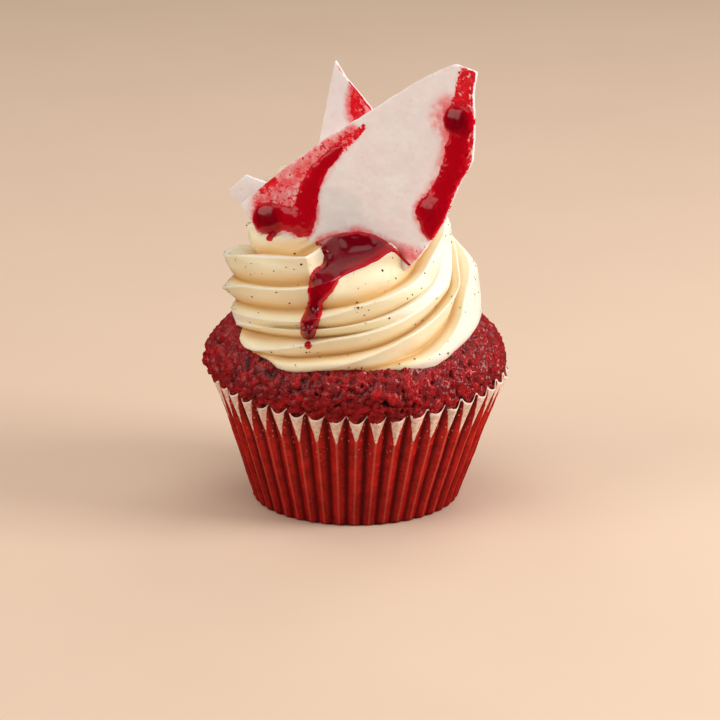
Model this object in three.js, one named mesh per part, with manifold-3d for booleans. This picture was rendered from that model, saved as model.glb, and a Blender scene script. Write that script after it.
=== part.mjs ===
// A red velvet cupcake: a pleated paper case, a domed sponge, a piped swirl of frosting,
// and three shards of white sugar glass stuck into the swirl.
// Millimetres, +Z up. The origin is the middle of the case's flat bottom, and -Y is the front.
// Angles round the cupcake are in degrees from the front, growing towards +X.
import * as THREE from "three";
import { mergeVertices } from "three/addons/utils/BufferGeometryUtils.js";
import Module from "manifold-3d";

const wasm = await Module();
wasm.setup();

// ---- Driving dimensions ----

const GAP = 0.35; // clearance between neighbouring pieces
const BURIED_GAP = 0.6; // clearance under the swirl, where both pieces are faceted

const CASE = {
  pleats: 44,
  footShift: -1, // the foot stands this far to one side of the rim
  bottomRadius: 24.8, // edge of the flat bottom
  cornerRadius: 26.3, // wall just above the rounded corner
  cornerHeight: 1.4,
  taper: 0.335, // radius gained for each millimetre of height
  flareFrom: 20, // height where the rim starts to turn outwards
  flare: 0.9, // extra radius gained over the flare's span, growing with its square
  flareSpan: 13,
  foldDepthBottom: 0.8, // from an outward fold to the crease beside it
  foldDepthRim: 1.8,
  rimFront: 30.2, // height of the outward folds at the front and the back
  rimSide: 33, // and at the two sides
  creaseRise: 1.2, // the rim stands this much higher at a crease
  paper: 0.5, // thickness of the baked paper with its folds
};

const SPONGE_FOOT_INSET = 1.5; // the sponge's bottom edge is this far inside the case's
const CROWN = {
  middleX: -1,
  radius: 37.7, // widest, above the rim
  widestHeight: 36.5,
  rise: 16.4, // from the widest height to the top
  overhangStart: 0.6, // height above the rim where the crown spreads over it
  overhangStep: 0.4, // it starts this far outside the sponge in the case
  unevenness: 0.3, // of the radius, in waves round the crown
  waves: [
    { count: 3, phase: 1 },
    { count: 7, phase: 0 },
    { count: 11, phase: -2 },
  ],
};

const SWIRL = {
  middle: { x: -0.5, y: -3, z: 45 }, // axis at the foot
  leanX: -0.09, // the axis moves this much for each millimetre of height
  leanY: 0.12,
  topShift: 5, // and the top coil sits this much further back
  topShiftFrom: 70,
  topShiftTo: 75.5,
  coilRadius: 21.4, // top coil
  capFrom: 75.5, // height where the top coil closes in
  capPower: 2.3, // powers of the curve that closes it
  capRounding: 0.44,
  top: 85.8,
  step: 4.2, // how far the coil below stands out from the top coil
  stepFrom: 70.5,
  stepTo: 75.5,
  belly: 5.9, // how far the widest coil stands out from that one
  bellyFrom: 59.5,
  bellyTo: 68.5,
  ledgeFrom: -0.9, // at the front left that is a sharp ledge along the top groove instead,
  ledgeTo: 0.1,
  ledgeAngles: [-150, -120, -20, -2], // which comes and goes between these angles
  footTuck: 1.6, // the foot is rounded inwards by this much,
  footRounding: 3.2, // over this height
  footBetween: [38, 53], // lowest and highest that the foot can be
  footGrooves: 0.4, // share of the grooves' depth that is left at the foot,
  footGroovesFrom: 0.5, // growing over these heights above it
  footGroovesTo: 4.5,
  footInset: 2.2, // the heights count from where the swirl without grooves, but inset, meets the sponge
  grooveDepth: 3.8,
  sink: 1, // the grooves hook down behind the crests below them by this much
  ridgeRounding: 0.8, // power of the ridges' faces: 1 is straight, and less is rounder
};

// Wider and narrower sides of the swirl: angle, spread, amount, and the heights where each comes and goes.
const SIDES = [
  { angle: 12, spread: 42, amount: 1.9, goes: [48, 62] },
  { angle: 85, spread: 30, amount: -0.9, goes: [44, 50] },
  { angle: -95, spread: 25, amount: -1.2, goes: [46, 53] },
  { angle: -55, spread: 16, amount: 2.4, goes: [45.5, 49] },
  { angle: -30, spread: 13, amount: 1.9, goes: [46, 50] },
  { angle: -38, spread: 26, amount: -1.5, comes: [66, 69] },
  { angle: -95, spread: 14, amount: 1.5, comes: [64, 66], goes: [71, 73] },
  { angle: -80, spread: 45, amount: 1.5, comes: [50, 55], goes: [60, 66] },
  { angle: -105, spread: 22, amount: 1.6, comes: [73, 77], goes: [80, 84] },
  { angle: -150, spread: 30, amount: -2.5, comes: [72, 77] },
];

// Height gained by every ridge line: an even climb, and three places where all lines climb faster.
const CLIMB = 0.05;
const HUMPS = [
  { amount: 0.75, angle: -75, spread: 12 },
  { amount: 6.6, angle: 44, spread: 36 },
  { amount: 3.5, angle: 120, spread: 25 },
];

// Grooves left between the ridges by the star nozzle, from the highest. height: its level where the
// lines start; climbs: its own amounts, angles and spreads, such as where the lower grooves are
// squeezed up against the next; crest: angle where the ridge below it is born.
const FOREVER = 1e4;
const SQUEEZE = [58.7, 6];
const GROOVES = [
  { height: 79.35, climbs: [[2.2, -66, 18]], crest: -160 },
  { height: 74.65, climbs: [[-1.2, -75, 12], [2.8, -8, 18]], crest: -103 },
  { height: 68.75, climbs: [[-0.9, -75, 12], [-1.6, 30, 10]], crest: -44, lowestCrest: 0.38 },
  { height: 63.3, crest: -90, from: -48, quietFrom: 36, quietTo: 130, depth: 0.85 },
  { height: 61.05, crest: -57, quietFrom: 8, quietTo: 120 },
  { height: 56.65, climbs: [[2.6, ...SQUEEZE]], crest: -32, lowestCrest: 0.35, highestCrest: 0.96 },
  { height: 51.6, climbs: [[-1.2, 24, 10], [6, ...SQUEEZE]], crest: 20, lowestCrest: 0.3 },
  { height: 47.35, climbs: [[4.6, ...SQUEEZE]], crest: 90, from: 110, to: 285, depth: 0.9 },
  { height: 44.55, climbs: [[2.4, ...SQUEEZE]], crest: 120, from: 125, to: 270, depth: 0.8 },
];
const CREST_SPAN = 55; // degrees that a crest takes to move from the foot of its ridge to the top
const LOWEST_CREST = 0.15;
const HIGHEST_CREST = 0.87;
const FADE = 14; // degrees over which a groove fades in or out

// The front shard presses into the swirl. contact: angles, and heights where the frosting meets its
// face; ledge and pool: angles between which it presses in above the top groove, and above the crest
// under the syrup, come and go; behind: the frosting stays this far behind the face further up.
const PRESS = {
  contact: [
    [-88, 69.1], [-72, 68.9], [-42, 69], [-34, 66.5], [-7, 66.8], [8, 68.6], [20, 70.4],
    [28.4, 71.3], [31.6, 68.9], [34.6, 65.6],
  ],
  ledge: [-100, -88, -14, -11],
  pool: [-20, -15, 34.5, 38],
  behind: 0.5,
  clear: 0.05, // a row of the swirl lies this far above the contact
  sink: [2, 3.6], // how far the top groove is sunk behind its crest, between these two angles
  sinkAngles: [-75, -25],
  sinkSpread: 2.5, // height over which that fades
};

// Shards. anchor: a point of the front face; turn: how far its right end is turned to the front;
// lean: how far it leans back, both in degrees; outline: across and up in its own plane.
const SHARD_THICKNESS = 1.3;
const SHARPEST_CORNER = 0.4; // a sharper corner grows no further than this one when a slot is cut
const SHARDS = {
  shard_front: {
    anchor: [13, -22.5, 64.57],
    turn: 27,
    lean: 6,
    outline: [
      [8.3, 52.8], [0.6, 48.7], [-3.3, 46.2], [-14.1, 38.6], [-27.4, 29.3], [-35.6, 22.9],
      [-48.5, 11.2], [-45.5, 7.6], [-43.4, 4.5], [-38, -2], [-14, -5], [-4, -1],
      [-0.5, 1.9], [2.9, 6.1], [5.3, 10], [7.5, 13.6], [11, 22.7], [14.4, 29],
      [14.7, 32.9], [14.3, 40], [13.7, 46.2], [14.4, 51.4],
    ],
  },
  shard_left: {
    anchor: [-28, 3.5, 77.07],
    turn: 10,
    lean: 4,
    outline: [[-0.6, 5.5], [-5.1, 1], [-1.8, -2.3], [5.4, -9], [13.4, 0.8], [4.3, 3.9]],
  },
  shard_spike: {
    anchor: [-5, 3.5, 84],
    turn: 18,
    lean: 3,
    outline: [
      [-1.6, 27.6], [-3.5, 17.3], [-5.5, 6.5], [-7.2, -2], [-5.5, -9.5], [9.7, -8.3],
      [13.2, 0.9], [13.6, 9.6], [7.9, 16.2], [4.5, 20.1], [1.3, 23.3],
    ],
  },
};

// Facets. Shares are of the way along each stretch, from 0 to 1.
const COLUMNS_A_PLEAT = 3;
const CASE_WALL_SHARES = [0.3, 0.6, 0.82, 1];
const CASE_INNER_CORNER_SHARE = 0.02;
const SPONGE_COLUMNS = 66;
const SPONGE_WALL_SHARES = [0, 0.5, 1];
const SPONGE_OVERHANG_SHARES = [0, 0.45, 1];
const SPONGE_DOME_SHARES = [0.15, 0.3, 0.45, 0.6, 0.76];
const SWIRL_COLUMNS = 80;
const ROWS_A_RIDGE = 2; // one on the groove and one on the crest
const UNDERSIDE_SHARES = [0.85, 0.66, 0.33]; // from the swirl's middle to its foot
const TURNS = [2, 1, 0, -1, -2]; // turns of the ridge lines that can pass over the swirl
const TOP_GROOVE = TURNS.indexOf(0) * GROOVES.length; // the highest groove's place among all lines
const HALVINGS = 20; // steps that find where the swirl's foot meets the sponge

const COLOURS = {
  paper_case: { color: 0xa33a34, roughness: 0.55, metalness: 0 },
  sponge: { color: 0x7d0f18, roughness: 0.7, metalness: 0 },
  frosting: { color: 0xf3e3bd, roughness: 0.45, metalness: 0 },
  shard_front: { color: 0xf3e6e2, roughness: 0.3, metalness: 0 },
  shard_left: { color: 0xf3e9e4, roughness: 0.3, metalness: 0 },
  shard_spike: { color: 0xf3e6e2, roughness: 0.3, metalness: 0 },
};

// ---- Helpers ----

const clamp = THREE.MathUtils.clamp;
const lerp = THREE.MathUtils.lerp;
const radians = THREE.MathUtils.degToRad;
const smooth = (value, from, to) => THREE.MathUtils.smoothstep(value, from, to);
const sum = (values) => values.reduce((total, value) => total + value, 0);
const fade = (angle, at) => 0.5 * (1 + Math.tanh((angle - at) / FADE));
const within = (angle, [from, full, fading, gone]) =>
  smooth(angle, from, full) * (1 - smooth(angle, fading, gone));
const around = (angle, radius, x = 0, y = 0) => [
  x + radius * Math.sin(radians(angle)),
  y - radius * Math.cos(radians(angle)),
];

// Value at a place between the nearest two of a list of places and values.
function between(list, place) {
  const next = clamp(list.findIndex(([at]) => at > place), 1, list.length - 1);
  const [[from, low], [to, high]] = [list[next - 1], list[next]];
  return lerp(low, high, clamp((place - from) / (to - from), 0, 1));
}

// A closed body from points and faces of three or more corners, without the faces that close up
// where rows meet.
function body(points, faces) {
  const corners = [];
  for (const face of faces) {
    for (let i = 2; i < face.length; i += 1) corners.push(face[0], face[i - 1], face[i]);
  }
  const geometry = new THREE.BufferGeometry();
  geometry.setAttribute("position", new THREE.Float32BufferAttribute(points.flat(), 3));
  geometry.setIndex(corners);
  const merged = mergeVertices(geometry, 1e-3);
  const kept = [];
  const index = merged.index.array;
  for (let i = 0; i < index.length; i += 3) {
    const [a, b, c] = [index[i], index[i + 1], index[i + 2]];
    if (a !== b && b !== c && c !== a) kept.push(a, b, c);
  }
  merged.setIndex(kept);
  return merged;
}

// Rings of equal length, from the bottom centre round the outside to the top centre, as one body.
function bodyOfRings(bottom, rings, top) {
  const count = rings[0].length;
  const points = [...rings.flat(), bottom, top];
  const bottomIndex = points.length - 2;
  const topIndex = points.length - 1;
  const last = (rings.length - 1) * count;
  const faces = [];
  for (let i = 0; i < count; i += 1) {
    const next = (i + 1) % count;
    faces.push([bottomIndex, next, i]);
    faces.push([last + i, last + next, topIndex]);
    for (let row = 0; row < last; row += count) {
      faces.push([row + i, row + next, row + count + next, row + count + i]);
    }
  }
  return body(points, faces);
}

// Solids for cutting, and back again.
function toManifold(geometry) {
  const bare = new THREE.BufferGeometry();
  bare.setAttribute("position", geometry.getAttribute("position"));
  if (geometry.index) bare.setIndex(geometry.index);
  const merged = mergeVertices(bare, 1e-3);
  const vertProperties = new Float32Array(merged.getAttribute("position").array);
  const triVerts = new Uint32Array(merged.index.array);
  return new wasm.Manifold(new wasm.Mesh({ numProp: 3, vertProperties, triVerts }));
}

function toGeometry(manifold) {
  const mesh = manifold.getMesh();
  const geometry = new THREE.BufferGeometry();
  geometry.setAttribute("position", new THREE.Float32BufferAttribute(mesh.vertProperties, 3));
  geometry.setIndex([...mesh.triVerts]);
  return geometry;
}

// ---- Paper case ----

// Radius of the outward folds at a height.
function caseRadius(height) {
  const flare = CASE.flare * Math.max(0, (height - CASE.flareFrom) / CASE.flareSpan) ** 2;
  return CASE.cornerRadius + CASE.taper * (height - CASE.cornerHeight) + flare;
}

function foldDepth(height) {
  return lerp(CASE.foldDepthBottom, CASE.foldDepthRim, height / CASE.rimSide);
}

function rimHeight(angle) {
  return lerp(CASE.rimFront, CASE.rimSide, Math.sin(radians(angle)) ** 2);
}

// Sideways shift of the case, and of the sponge in it, at a height.
function footShift(height) {
  return CASE.footShift * clamp(1 - height / CASE.rimFront, 0, 1);
}

// Outside from the flat bottom to the rim, then back down inside to the floor.
function paperCase() {
  const columns = CASE.pleats * COLUMNS_A_PLEAT;
  const ring = (share, inset) =>
    Array.from({ length: columns }, (_, i) => {
      const angle = (360 * i) / columns;
      const crease = i % COLUMNS_A_PLEAT === 0 ? 1 : 0;
      const rim = rimHeight(angle) + crease * CASE.creaseRise;
      const height = lerp(CASE.cornerHeight, rim, share);
      const radius = caseRadius(height) - crease * foldDepth(height) - inset;
      return [...around(angle, radius, footShift(height)), height];
    });
  const disc = (radius, height) =>
    Array.from({ length: columns }, (_, i) => [
      ...around((360 * i) / columns, radius, footShift(height)),
      height,
    ]);
  const wallOutside = CASE_WALL_SHARES.map((share) => ring(share, 0));
  const wallInside = CASE_WALL_SHARES.map((share) => ring(share, CASE.paper)).reverse();
  const rings = [
    disc(CASE.bottomRadius, 0),
    ring(0, 0),
    ...wallOutside,
    ...wallInside,
    ring(CASE_INNER_CORNER_SHARE, CASE.paper),
    disc(CASE.bottomRadius - 2 * CASE.paper, CASE.paper),
  ];
  return bodyOfRings([footShift(0), 0, 0], rings, [footShift(CASE.paper), 0, CASE.paper]);
}

// ---- Sponge ----

// Radius of the crown where it is widest. It isn't quite round.
function crownRadius(angle) {
  const waves = CROWN.waves.map(({ count, phase }) => Math.sin(count * radians(angle) + phase));
  return CROWN.radius + CROWN.unevenness * sum(waves);
}

// Height of the crown's dome over a point.
function crownHeight(x, y) {
  const across = x - CROWN.middleX;
  const angle = THREE.MathUtils.radToDeg(Math.atan2(across, -y));
  const share = Math.hypot(across, y) / crownRadius(angle);
  return CROWN.widestHeight + CROWN.rise * Math.sqrt(Math.max(0, 1 - share ** 2));
}

function sponge() {
  const columns = Array.from({ length: SPONGE_COLUMNS }, (_, i) => (360 * i) / SPONGE_COLUMNS);
  const floor = CASE.paper + GAP;
  // Inside the case it keeps clear of the creases.
  const insideRadius = (height) => caseRadius(height) - foldDepth(height) - CASE.paper - GAP;
  const wall = (share) =>
    columns.map((angle) => {
      const height = lerp(CASE.cornerHeight + floor, rimHeight(angle) + CASE.creaseRise, share);
      return [...around(angle, insideRadius(height), footShift(height)), height];
    });
  const spread = (share) =>
    columns.map((angle) => {
      const from = rimHeight(angle) + CASE.creaseRise + CROWN.overhangStart;
      const height = lerp(from, CROWN.widestHeight, share);
      const turn = Math.sin((share * Math.PI) / 2);
      const radius = lerp(insideRadius(from) + CROWN.overhangStep, crownRadius(angle), turn);
      return [...around(angle, radius, CROWN.middleX * turn), height];
    });
  const dome = (share) =>
    columns.map((angle) => {
      const slope = (share * Math.PI) / 2;
      const height = CROWN.widestHeight + CROWN.rise * Math.sin(slope);
      return [...around(angle, crownRadius(angle) * Math.cos(slope), CROWN.middleX), height];
    });
  const footRadius = CASE.bottomRadius - SPONGE_FOOT_INSET;
  const rings = [
    columns.map((angle) => [...around(angle, footRadius, footShift(floor)), floor]),
    ...SPONGE_WALL_SHARES.map(wall),
    ...SPONGE_OVERHANG_SHARES.map(spread),
    ...SPONGE_DOME_SHARES.map(dome),
  ];
  const top = [CROWN.middleX, 0, CROWN.widestHeight + CROWN.rise];
  return bodyOfRings([footShift(floor), 0, floor], rings, top);
}

// ---- Frosting ----

// Height of a ridge line above its start, at an angle within one turn.
function rise(angle) {
  const humps = HUMPS.map((h) => h.amount * Math.tanh((angle - h.angle) / h.spread));
  return CLIMB * angle + sum(humps);
}

const PITCH = rise(180) - rise(-180); // height gained in a whole turn

function grooveHeight(groove, angle, turn) {
  const total = angle + 360 * turn;
  const climbs = (groove.climbs ?? []).map(
    ([amount, at, spread]) => amount * 0.5 * (1 + Math.tanh((total - at) / spread)),
  );
  return groove.height + rise(angle) + PITCH * turn + sum(climbs);
}

// How deep a groove is at a total angle: it fades in and out, and may be quiet for a while.
function grooveDepth(groove, total) {
  const { from = -FOREVER, to = FOREVER, quietFrom = FOREVER, quietTo = FOREVER } = groove;
  const { depth = 1 } = groove;
  const quiet = fade(total, quietFrom) * (1 - fade(total, quietTo));
  return depth * fade(total, from) * (1 - fade(total, to)) * (1 - quiet);
}

// Share of the ridge below a groove that lies under its crest: the crest climbs through the ridge.
function crestShare(groove, total) {
  const { lowestCrest = LOWEST_CREST, highestCrest = HIGHEST_CREST } = groove;
  return clamp((total - groove.crest) / CREST_SPAN, lowestCrest, highestCrest);
}

// Every groove of every turn, from the highest, with its height and depth at one angle.
function linesAt(angle) {
  return TURNS.flatMap((turn) =>
    GROOVES.map((groove) => ({
      height: grooveHeight(groove, angle, turn),
      depth: grooveDepth(groove, angle + 360 * turn),
      crest: crestShare(groove, angle + 360 * turn),
    })),
  );
}

// Relief at a height between the lines: 0 on a crest, and down to -1 in a full groove.
function relief(lines, height) {
  const below = lines.findIndex((line, i) => i > 0 && line.height <= height);
  if (below < 0) return 0;
  const upper = lines[below - 1];
  const lower = lines[below];
  const share = (height - lower.height) / (upper.height - lower.height);
  const power = SWIRL.ridgeRounding;
  if (share < upper.crest) return -lower.depth * (1 - (share / upper.crest) ** power);
  return -upper.depth * (1 - Math.max(0, (1 - share) / (1 - upper.crest)) ** power);
}

// The swirl's axis at a height.
function swirlMiddle(height) {
  const up = height - SWIRL.middle.z;
  const back = SWIRL.topShift * smooth(height, SWIRL.topShiftFrom, SWIRL.topShiftTo);
  return [SWIRL.middle.x + SWIRL.leanX * up, SWIRL.middle.y + SWIRL.leanY * up + back];
}

// Radius over the crests.
function swirlRadius(angle, height) {
  const cap = clamp((height - SWIRL.capFrom) / (SWIRL.top - SWIRL.capFrom), 0, 1);
  const coil = SWIRL.coilRadius * (1 - cap ** SWIRL.capPower) ** SWIRL.capRounding;
  const step = SWIRL.step * (1 - smooth(height, SWIRL.stepFrom, SWIRL.stepTo));
  const overGroove = height - grooveHeight(GROOVES[0], angle, 0);
  const ledge = smooth(overGroove, SWIRL.ledgeFrom, SWIRL.ledgeTo);
  const slope = smooth(height, SWIRL.bellyFrom, SWIRL.bellyTo);
  const belly = SWIRL.belly * (1 - lerp(slope, ledge, within(angle, SWIRL.ledgeAngles)));
  const sides = SIDES.map((side) => {
    const { comes: [from, full] = [0, 1], goes: [fading, gone] = [FOREVER, 2 * FOREVER] } = side;
    const away = (angle - side.angle) / side.spread;
    return side.amount * Math.exp(-(away ** 2)) * within(height, [from, full, fading, gone]);
  });
  return Math.max(0, coil + step + belly + sum(sides));
}

// Height where a surface with this radius meets the sponge, or comes this near to it, found by halving.
function meetingHeight(angle, near, radiusAt) {
  let [low, high] = SWIRL.footBetween;
  for (let i = 0; i < HALVINGS; i += 1) {
    const height = (low + high) / 2;
    const [x, y] = around(angle, radiusAt(height), ...swirlMiddle(height));
    if (height < crownHeight(x, y) + near) low = height;
    else high = height;
  }
  return high;
}

// Distance from the swirl's axis out to the plane of the front shard's face.
function faceDistance(angle, height) {
  const { anchor } = SHARDS.shard_front;
  const face = new THREE.Object3D();
  place(face, SHARDS.shard_front);
  const out = new THREE.Vector3(0, 0, 1).applyQuaternion(face.quaternion);
  const straight = new THREE.Vector3(...around(angle, 1), 0);
  const axis = new THREE.Vector3(...swirlMiddle(height), height);
  return new THREE.Vector3(...anchor).sub(axis).dot(out) / straight.dot(out);
}

// The radius where the front shard presses into the swirl: from a start up to the contact the surface
// turns in to the face by a quarter of an ellipse, and above that it stays behind the face.
function pressedRadius(angle, height, radius, start) {
  const contact = between(PRESS.contact, angle);
  const from = Math.min(start, contact - 1);
  const risen = clamp((height - from) / (contact - from), 0, 1);
  const face = faceDistance(angle, height);
  if (risen === 1) return Math.min(radius, face - PRESS.behind);
  return Math.min(radius, face + (radius - face) * Math.sqrt(1 - risen ** 2));
}

// Radius and height of the surface with its grooves, which go in and sink behind the crests below them.
function grooved({ angle, lines, smoothFoot }, wanted) {
  const [top, second, third] = lines.slice(TOP_GROOVE);
  const crest = lerp(third.height, second.height, second.crest);
  const ledge = within(angle, PRESS.ledge);
  const pool = within(angle, PRESS.pool);
  const overFoot = smooth(wanted - smoothFoot, SWIRL.footGroovesFrom, SWIRL.footGroovesTo);
  const whole = swirlRadius(angle, wanted);
  const rough = relief(lines, wanted) * Math.min(1, whole / SWIRL.coilRadius);
  const topSink = lerp(...PRESS.sink, smooth(angle, ...PRESS.sinkAngles));
  const nearTop = Math.exp(-(((wanted - top.height) / PRESS.sinkSpread) ** 2)) * ledge;
  const flat = pool * smooth(wanted - crest, 0, 1);
  const height = wanted + lerp(SWIRL.sink, topSink, nearTop) * overFoot * (1 - flat) * rough;
  let radius = whole + SWIRL.grooveDepth * lerp(SWIRL.footGrooves, 1, overFoot) * rough;
  if (ledge > 0 && wanted > top.height) {
    radius = lerp(radius, pressedRadius(angle, height, radius, top.height - topSink), ledge);
  }
  if (pool > 0) radius = lerp(radius, pressedRadius(angle, height, radius, crest), pool);
  return { radius, height };
}

// A point of the swirl's surface, tucked in by a share of the foot's rounding.
function swirlPoint(side, wanted, tucked) {
  const { radius, height } = grooved(side, wanted);
  const inwards = Math.max(0, radius - SWIRL.footTuck * tucked);
  return [...around(side.angle, inwards, ...swirlMiddle(height)), height];
}

// Moves the rows nearest to the front shard's face, in a column of points, to its contact.
function pressRows(angle, column) {
  const topGroove = TOP_GROOVE * ROWS_A_RIDGE;
  const pool = within(angle, PRESS.pool);
  const ledge = within(angle, PRESS.ledge) * (1 - pool);
  for (const [row, share] of [[topGroove - 1, ledge], [topGroove + ROWS_A_RIDGE, pool]]) {
    const [, , below] = column[row + 1];
    const height = Math.max(between(PRESS.contact, angle), below) + PRESS.clear;
    const radius = faceDistance(angle, height) - PRESS.behind;
    const pressed = [...around(angle, radius, ...swirlMiddle(height)), height];
    column[row] = column[row].map((value, i) => lerp(value, pressed[i], share));
  }
}

// Rows follow the ridges: each ridge has a row on its groove and on its crest. They climb, so a turn
// further on a row carries on as the one a whole set of grooves higher.
function swirl() {
  const columns = [];
  const undersides = [];
  for (let i = 0; i < SWIRL_COLUMNS; i += 1) {
    const angle = -180 + (360 * i) / SWIRL_COLUMNS;
    const lines = linesAt(angle);
    const smoothFoot = meetingHeight(angle, 0, (height) => swirlRadius(angle, height) - SWIRL.footInset);
    const side = { angle, lines, smoothFoot };
    const foot = meetingHeight(angle, BURIED_GAP, (height) => grooved(side, height).radius - SWIRL.footTuck);
    const heights = lines.slice(0, -1).flatMap((upper, row) => {
      const lower = lines[row + 1].height;
      return [upper.height, lerp(lower, upper.height, upper.crest)];
    });
    const column = heights.map((wanted) => {
      const height = clamp(wanted, foot, SWIRL.top);
      const tucked = Math.max(0, 1 - (height - foot) / SWIRL.footRounding) ** 2;
      return swirlPoint(side, height, tucked);
    });
    pressRows(angle, column);
    columns.push(column);
    const [x, y, z] = swirlPoint(side, foot, 1);
    const middle = swirlMiddle(foot);
    const underside = UNDERSIDE_SHARES.map((share) => {
      const [px, py] = [lerp(middle[0], x, share), lerp(middle[1], y, share)];
      return [px, py, crownHeight(px, py) + BURIED_GAP];
    });
    undersides.push([[x, y, z], ...underside]);
  }
  const rows = columns[0].length;
  const oneTurn = GROOVES.length * ROWS_A_RIDGE;
  const middle = swirlMiddle(SWIRL.middle.z);
  const points = [...columns.flat(), ...undersides.flat()];
  points.push([...middle, crownHeight(...middle) + BURIED_GAP]);
  const under = columns.length * rows;
  const centre = points.length - 1;
  const faces = [];
  for (let i = 0; i < SWIRL_COLUMNS; i += 1) {
    const wraps = i === SWIRL_COLUMNS - 1;
    const next = (i + 1) % SWIRL_COLUMNS;
    const at = (row) => i * rows + clamp(row, 0, rows - 1);
    const beside = (row) => next * rows + clamp(row - (wraps ? oneTurn : 0), 0, rows - 1);
    for (let row = -1; row < rows + oneTurn; row += 1) {
      faces.push([at(row), at(row + 1), beside(row + 1), beside(row)]);
    }
    const inner = UNDERSIDE_SHARES.length;
    const ring = (column, depth) => under + column * (inner + 1) + depth;
    for (let depth = 0; depth < inner; depth += 1) {
      faces.push([ring(i, depth), ring(i, depth + 1), ring(next, depth + 1), ring(next, depth)]);
    }
    faces.push([ring(i, inner), centre, ring(next, inner)]);
  }
  return body(points, faces);
}

// ---- Shards ----

// An outline moved outwards by a margin, corner by corner.
function grown(outline, margin) {
  const points = outline.map(([x, y]) => new THREE.Vector2(x, y));
  const turnsLeft = THREE.ShapeUtils.area(points) > 0 ? 1 : -1;
  const outwards = (from, to) =>
    new THREE.Vector2(to.y - from.y, from.x - to.x).normalize().multiplyScalar(turnsLeft);
  return points.map((point, i) => {
    const before = points[(i + points.length - 1) % points.length];
    const after = points[(i + 1) % points.length];
    const mean = outwards(before, point).add(outwards(point, after)).normalize();
    const reach = margin / Math.max(SHARPEST_CORNER, mean.dot(outwards(before, point)));
    return mean.multiplyScalar(reach).add(point).toArray();
  });
}

// A shard as a plate behind its front face, or the slot that it needs, larger by a margin all round.
function shardGeometry({ outline }, margin = 0) {
  const points = margin ? grown(outline, margin) : outline;
  const shape = new THREE.Shape(points.map(([x, y]) => new THREE.Vector2(x, y)));
  const depth = SHARD_THICKNESS + 2 * margin;
  const geometry = new THREE.ExtrudeGeometry(shape, { depth, bevelEnabled: false });
  geometry.translate(0, 0, margin - depth);
  geometry.deleteAttribute("normal");
  geometry.deleteAttribute("uv");
  return mergeVertices(geometry, 1e-4);
}

// The shard's own frame: x across the face, y up the face, z out of the front face.
function place(object, { anchor, turn, lean }) {
  object.rotation.set(Math.PI / 2 - radians(lean), 0, -radians(turn), "ZYX");
  object.position.set(...anchor);
  object.updateMatrix();
}

// ---- The cupcake ----

const cupcake = new THREE.Group();

function add(name, geometry) {
  const material = new THREE.MeshStandardMaterial(COLOURS[name]);
  const mesh = new THREE.Mesh(geometry, material);
  mesh.name = name;
  cupcake.add(mesh);
  return mesh;
}

// The swirl, cut where the shards go in.
function slottedSwirl() {
  let solid = toManifold(swirl());
  for (const shard of Object.values(SHARDS)) {
    const slot = new THREE.Mesh(shardGeometry(shard, GAP));
    place(slot, shard);
    solid = solid.subtract(toManifold(slot.geometry.applyMatrix4(slot.matrix)));
  }
  return toGeometry(solid);
}

add("paper_case", paperCase());
add("sponge", sponge());
add("frosting", slottedSwirl());
for (const [name, shard] of Object.entries(SHARDS)) {
  place(add(name, shardGeometry(shard)), shard);
}

export default cupcake;
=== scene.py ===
import itertools
import math

import bpy
import numpy as np
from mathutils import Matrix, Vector


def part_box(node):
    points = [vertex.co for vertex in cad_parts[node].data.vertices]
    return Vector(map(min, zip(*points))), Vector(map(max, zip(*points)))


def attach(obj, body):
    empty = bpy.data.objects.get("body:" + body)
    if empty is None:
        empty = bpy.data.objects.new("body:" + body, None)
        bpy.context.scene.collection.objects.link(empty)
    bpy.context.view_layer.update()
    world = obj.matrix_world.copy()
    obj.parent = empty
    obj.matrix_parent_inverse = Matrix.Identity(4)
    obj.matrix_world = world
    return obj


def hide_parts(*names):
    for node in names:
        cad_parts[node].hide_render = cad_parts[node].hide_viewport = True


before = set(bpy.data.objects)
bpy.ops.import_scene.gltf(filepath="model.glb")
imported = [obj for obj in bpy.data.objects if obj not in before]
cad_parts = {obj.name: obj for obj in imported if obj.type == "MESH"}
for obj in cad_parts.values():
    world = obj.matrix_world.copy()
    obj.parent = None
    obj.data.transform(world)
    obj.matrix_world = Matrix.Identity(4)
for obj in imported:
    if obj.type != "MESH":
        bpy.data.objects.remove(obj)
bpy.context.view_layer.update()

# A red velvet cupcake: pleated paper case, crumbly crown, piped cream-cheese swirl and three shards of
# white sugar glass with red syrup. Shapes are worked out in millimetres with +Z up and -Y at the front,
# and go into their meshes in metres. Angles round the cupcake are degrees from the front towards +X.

MM = 0.001


def solid_top(name):
    """Height of a solid's top, to a tenth of a millimetre."""
    return round(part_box(name)[1][2] / MM, 1)


# ---- Numbers that vary smoothly, and random relief ----

def smooth(value, low, high):
    """0 below low, 1 above high, and 3t^2 - 2t^3 of the share t between them."""
    share = np.clip((value - low) / (high - low), 0, 1)
    return share * share * (3 - 2 * share)


def blend(low, high, share):
    """The low value plus a share of the way to the high one."""
    return low + (high - low) * share


def soft_noise(points, size, seed):
    """Smooth noise from -1 to 1: every corner of a lattice of cubes holds a random number, and a point
    takes the numbers of its cube's eight corners, weighted by smoothstep of its place between them."""
    numbers = np.random.default_rng(seed).uniform(-1, 1, (32, 32, 32))
    cell = np.floor(points / size).astype(int)
    place = points / size - cell
    weight = place * place * (3 - 2 * place)
    total = np.zeros(points.shape[:-1])
    for corner in itertools.product((0, 1), repeat=3):
        share = np.prod(np.where(np.array(corner) == 1, weight, 1 - weight), axis=-1)
        i, j, k = np.moveaxis((cell + corner) % 32, -1, 0)
        total += share * numbers[i, j, k]
    return total


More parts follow.
